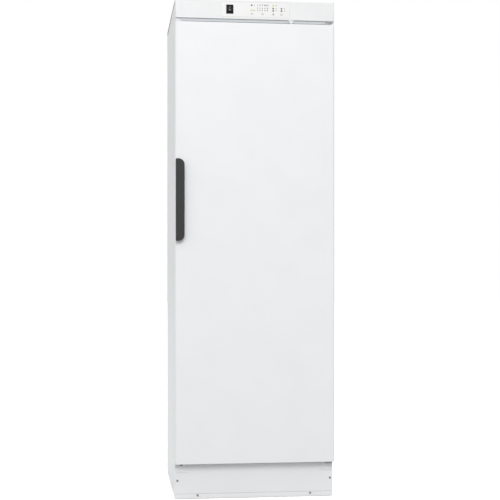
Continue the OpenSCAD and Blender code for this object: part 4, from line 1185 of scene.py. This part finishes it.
class CABINET_OT_buttons(Operator):
    """Builds the four push buttons with a printed symbol on each"""

    bl_idname = "cabinet.buttons"
    bl_label = "Buttons"
    bl_options = {"REGISTER", "UNDO"}

    def execute(self, context):
        cap_r = 0.5
        for node, key in (("button_1", "pale_ink"), ("button_2", "pale_ink"),
                          ("button_3", "ink"), ("button_4", "pale_ink")):
            low, high = span(node)
            centre = (low + high) / 2
            mesh = round_edges(copy_of(node), cap_r, at_front(low))
            joined(mesh, self.symbol(node, centre.x, low.y, centre.z), finish_index=1)
            link_finished(node, mesh, ["button", key])
        return {"FINISHED"}

    def symbol(self, node, x, y, z):
        """Two upright bars, a struck ring, a wedge or two level bars."""
        if node == "button_1":
            return joined(bar_mark(x + 1.3, y, z, 1.7, 4.2), bar_mark(x - 1.3, y, z, 1.7, 4.2))
        if node == "button_2":
            return joined(ring_mark(x, y, z, 2.1, 1.2), bar_mark(x, y, z, 7.4, 0.7))
        if node == "button_3":
            return flat_mark([(-1.9, -2.5), (1.9, -2.5), (0.9, 2.5), (-0.5, 2.5)], x, y, z)
        return joined(bar_mark(x, y, z + 0.9, 6, 1), bar_mark(x, y, z - 0.9, 6, 1))


class CABINET_OT_indicators(Operator):
    """Builds the indicator lenses with domed tips, two of them lit"""

    bl_idname = "cabinet.indicators"
    bl_label = "Indicators"
    bl_options = {"REGISTER", "UNDO"}

    def execute(self, context):
        lens_r, tip_r, glow_back, glow_steps = 1.5, 0.8, 0.3, 48
        low, high = span("indicator_lenses")
        depth = high.y - low.y
        section = [(0, lens_r), (depth - 0.25, lens_r), (depth - 0.12, 1.3), (depth, tip_r)]
        lenses, glows = bmesh.new(), bmesh.new()
        for column, row in sorted(LIT_LENSES + UNLIT_LENSES):
            dome = turned(section, (LENS_X[column], high.y, LENS_Z[row]), -Y_AXIS, 24)
            joined(lenses, dome, finish_index=int((column, row) in LIT_LENSES))
        # A thin oval round each lit lens carries the painted glow on the insert.
        for (x, z), (across, up) in GLOWS:
            angles = [FULL_TURN * i / glow_steps for i in range(glow_steps)]
            oval = [(across * math.cos(angle) / MM, up * math.sin(angle) / MM) for angle in angles]
            joined(glows, flat_mark(oval, x / MM, low.y + glow_back, z / MM))
        link_finished("indicator_lenses", lenses, ["lens_off", "lens_on"])
        link_piece("painted_indicator_glow", glows, ["painted_halo"], "cabinet")
        return {"FINISHED"}


class CABINET_OT_control_board(Operator):
    """Gives the control board's parts their own finishes"""

    bl_idname = "cabinet.control_board"
    bl_label = "Control board"
    bl_options = {"REGISTER", "UNDO"}

    def execute(self, context):
        front, rear, edge_r, terminal_x, relay_low, relay_high = -290.0, -288.4, 0.3, 52, 33, 47
        dress_node("control_board", ["board", "component", "terminal", "steel"], edge_r, marks=[
            (1, lambda p: p.y > rear + NEAR or p.y < front - NEAR),
            (2, lambda p: p.y > rear + NEAR and p.x > terminal_x),
            (3, lambda p: p.y > rear + NEAR and relay_low < p.x < relay_high),
        ])
        return {"FINISHED"}


class CABINET_OT_air_system(Operator):
    """Builds the fan, its motor with cooling fins, the heater and their ducts"""

    bl_idname = "cabinet.air_system"
    bl_label = "Fan and heater"
    bl_options = {"REGISTER", "UNDO"}

    def execute(self, context):
        duct_r, bore_reach, axis = 0.5, 4.3, joint_place("fan_spin")
        dress_node("fan_housing", ["zinc"], duct_r)
        dress_node("heater_duct", ["zinc"], duct_r)
        dress_node("heater_element", ["steel"])
        dress_node("fan_wheel", ["zinc", "pin"],
                   marks=[(1, lambda p: off_axis(p, axis) < bore_reach)])
        self.motor(axis)
        return {"FINISHED"}

    def motor(self, axis):
        """Fan motor with cooling fins round its can and a domed end."""
        arm_top, radius, fin, fin_pitch = 1724.5, 42, 1.6, 4.6
        high = span("fan_motor")[1]
        centre = Vector((axis.x, axis.y, 0))
        mesh, z = copy_of("fan_motor"), arm_top + 7
        band = [(arm_top + 5, radius - 2), (arm_top + 5, radius)]
        while z < high.z - 10:
            band += [(z, radius), (z + 0.6, radius + fin), (z + 1.8, radius + fin),
                     (z + 2.4, radius)]
            z += fin_pitch
        band += [(high.z - 5, radius), (high.z - 5, radius - 2)]
        cap = [(high.z - 0.2, 30), (high.z + 1.6, 29), (high.z + 3, 25), (high.z + 3.6, 10)]
        joined(mesh, turned(band, centre, Z_AXIS, 64, ring=True), turned(cap, centre, Z_AXIS, 48))
        link_finished("fan_motor", mesh, ["motor"])


class CABINET_OT_studio(Operator):
    """Builds the camera, the pale floor, the even light and a soft lamp"""

    bl_idname = "cabinet.studio"
    bl_label = "Studio"
    bl_options = {"REGISTER", "UNDO"}

    def execute(self, context):
        scene = context.scene
        scene.view_settings.view_transform = "Standard"
        self.camera(scene)
        self.floor(scene)
        self.world(scene)
        self.lamp(scene)
        return {"FINISHED"}

    def camera(self, scene):
        """Camera at about half the cabinet's height, a little to its left."""
        data = bpy.data.cameras.new("studio_camera")
        data.lens, data.sensor_width = 83.09, 36
        data.shift_x, data.shift_y = -0.0063, 0.05
        data.clip_start, data.clip_end = 0.05, 200
        camera = bpy.data.objects.new("studio_camera", data)
        camera.location = (-0.5206, -4.5563, 0.834)
        camera.rotation_euler = Vector((0.1196, 0.9928, 0)).to_track_quat("-Z", "Y").to_euler()
        scene.collection.objects.link(camera)
        scene.camera = camera

    def floor(self, scene):
        """Pale floor that keeps the cabinet's shadow and throws little light back at it."""
        bounce_tone, seen_tone, seen_lift = (0.3, 0.3, 0.3), (0.97, 0.97, 0.97), 0.45
        half = scene.cabinet_studio.floor_size / 2
        mesh = bmesh.new()
        mesh.faces.new([mesh.verts.new((x, y, 0)) for x, y in
                        ((-half, -half), (half, -half), (half, half), (-half, half))])
        data = bpy.data.meshes.new("studio_floor")
        mesh.to_mesh(data)
        mesh.free()
        surface = Surface("floor_paper", 0.9, specular=0.1)
        path = surface.node("ShaderNodeLightPath").outputs
        seen = surface.value("MAXIMUM", path["Is Camera Ray"], path["Is Glossy Ray"])
        surface.paint(surface.mixed(seen, bounce_tone, seen_tone))
        surface.bump(surface.noise(300, 3), 0.0001, 0.1)
        surface.tree.links.new(surface.value("MULTIPLY", seen, seen_lift),
                               surface.shader.inputs["Emission Strength"])
        surface.shader.inputs["Emission Color"].default_value = (1, 1, 1, 1)
        data.materials.append(surface.material)
        floor = bpy.data.objects.new("studio_floor", data)
        scene.collection.objects.link(floor)

    def world(self, scene):
        """Even light, with white behind the cabinet and in what reflects it."""
        world = bpy.data.worlds.new("studio_world")
        world.use_nodes = True
        tree = world.node_tree
        path = add_node(tree, "ShaderNodeLightPath").outputs
        seen = path["Is Camera Ray"]
        for key in ("Is Glossy Ray", "Is Transmission Ray"):
            seen = add_node(tree, "ShaderNodeMath", {0: seen, 1: path[key]},
                            operation="MAXIMUM").outputs[0]
        level = add_node(tree, "ShaderNodeMapRange", {
            "Value": seen, "To Min": scene.cabinet_studio.ambient, "To Max": 1}).outputs[0]
        background = tree.nodes["Background"].inputs
        background["Color"].default_value = (1, 1, 1, 1)
        tree.links.new(level, background["Strength"])
        scene.world = world

    def lamp(self, scene):
        """Soft lamp high in front of the cabinet."""
        data = bpy.data.lights.new("soft_lamp", "AREA")
        data.shape, data.size, data.size_y = "RECTANGLE", 3, 3
        data.energy = scene.cabinet_studio.lamp_power
        lamp = bpy.data.objects.new("soft_lamp", data)
        lamp.location = (-0.8, -7.4, 5)
        aim = Vector((0, 0, 1.1)) - lamp.location
        lamp.rotation_euler = aim.to_track_quat("-Z", "Y").to_euler()
        lamp.visible_camera = False
        scene.collection.objects.link(lamp)


BUILD_STEPS = (
    CABINET_OT_side_panels, CABINET_OT_back_panel, CABINET_OT_casing_sheets, CABINET_OT_services,
    CABINET_OT_feet, CABINET_OT_chamber_walls, CABINET_OT_drip_tray, CABINET_OT_racks,
    CABINET_OT_door_shell, CABINET_OT_insulation, CABINET_OT_door_seal, CABINET_OT_handle,
    CABINET_OT_hinges, CABINET_OT_glove_pegs, CABINET_OT_fascia, CABINET_OT_mains_switch,
    CABINET_OT_buttons, CABINET_OT_indicators, CABINET_OT_control_board,
    CABINET_OT_air_system, CABINET_OT_studio,
)


class CABINET_PT_sidebar(Panel):
    """Lists the cabinet's settings and build steps"""

    bl_idname = "CABINET_PT_sidebar"
    bl_label = "Drying Cabinet"
    bl_space_type = "VIEW_3D"
    bl_region_type = "UI"
    bl_category = "Cabinet"

    def draw(self, context):
        for name, group in SETTINGS.items():
            box = self.layout.box()
            for key in group.__annotations__:
                box.prop(getattr(context.scene, name), key)
        column = self.layout.column(align=True)
        for step in BUILD_STEPS:
            column.operator(step.bl_idname)


SETTINGS = {
    "cabinet_colours": CabinetColours,
    "cabinet_edges": CabinetEdges,
    "cabinet_studio": CabinetStudio,
}
CLASSES = (*SETTINGS.values(), *BUILD_STEPS, CABINET_PT_sidebar)


def register():
    for item in CLASSES:
        bpy.utils.register_class(item)
    for name, group in SETTINGS.items():
        setattr(bpy.types.Scene, name, PointerProperty(type=group))


def unregister():
    for name in SETTINGS:
        delattr(bpy.types.Scene, name)
    for item in reversed(CLASSES):
        bpy.utils.unregister_class(item)


def main():
    register()
    for step in BUILD_STEPS:
        group, name = step.bl_idname.split(".")
        if getattr(getattr(bpy.ops, group), name)() != {"FINISHED"}:
            raise RuntimeError(step.bl_label + " didn't finish")
    bpy.context.view_layer.update()


if __name__ == "__main__":
    main()
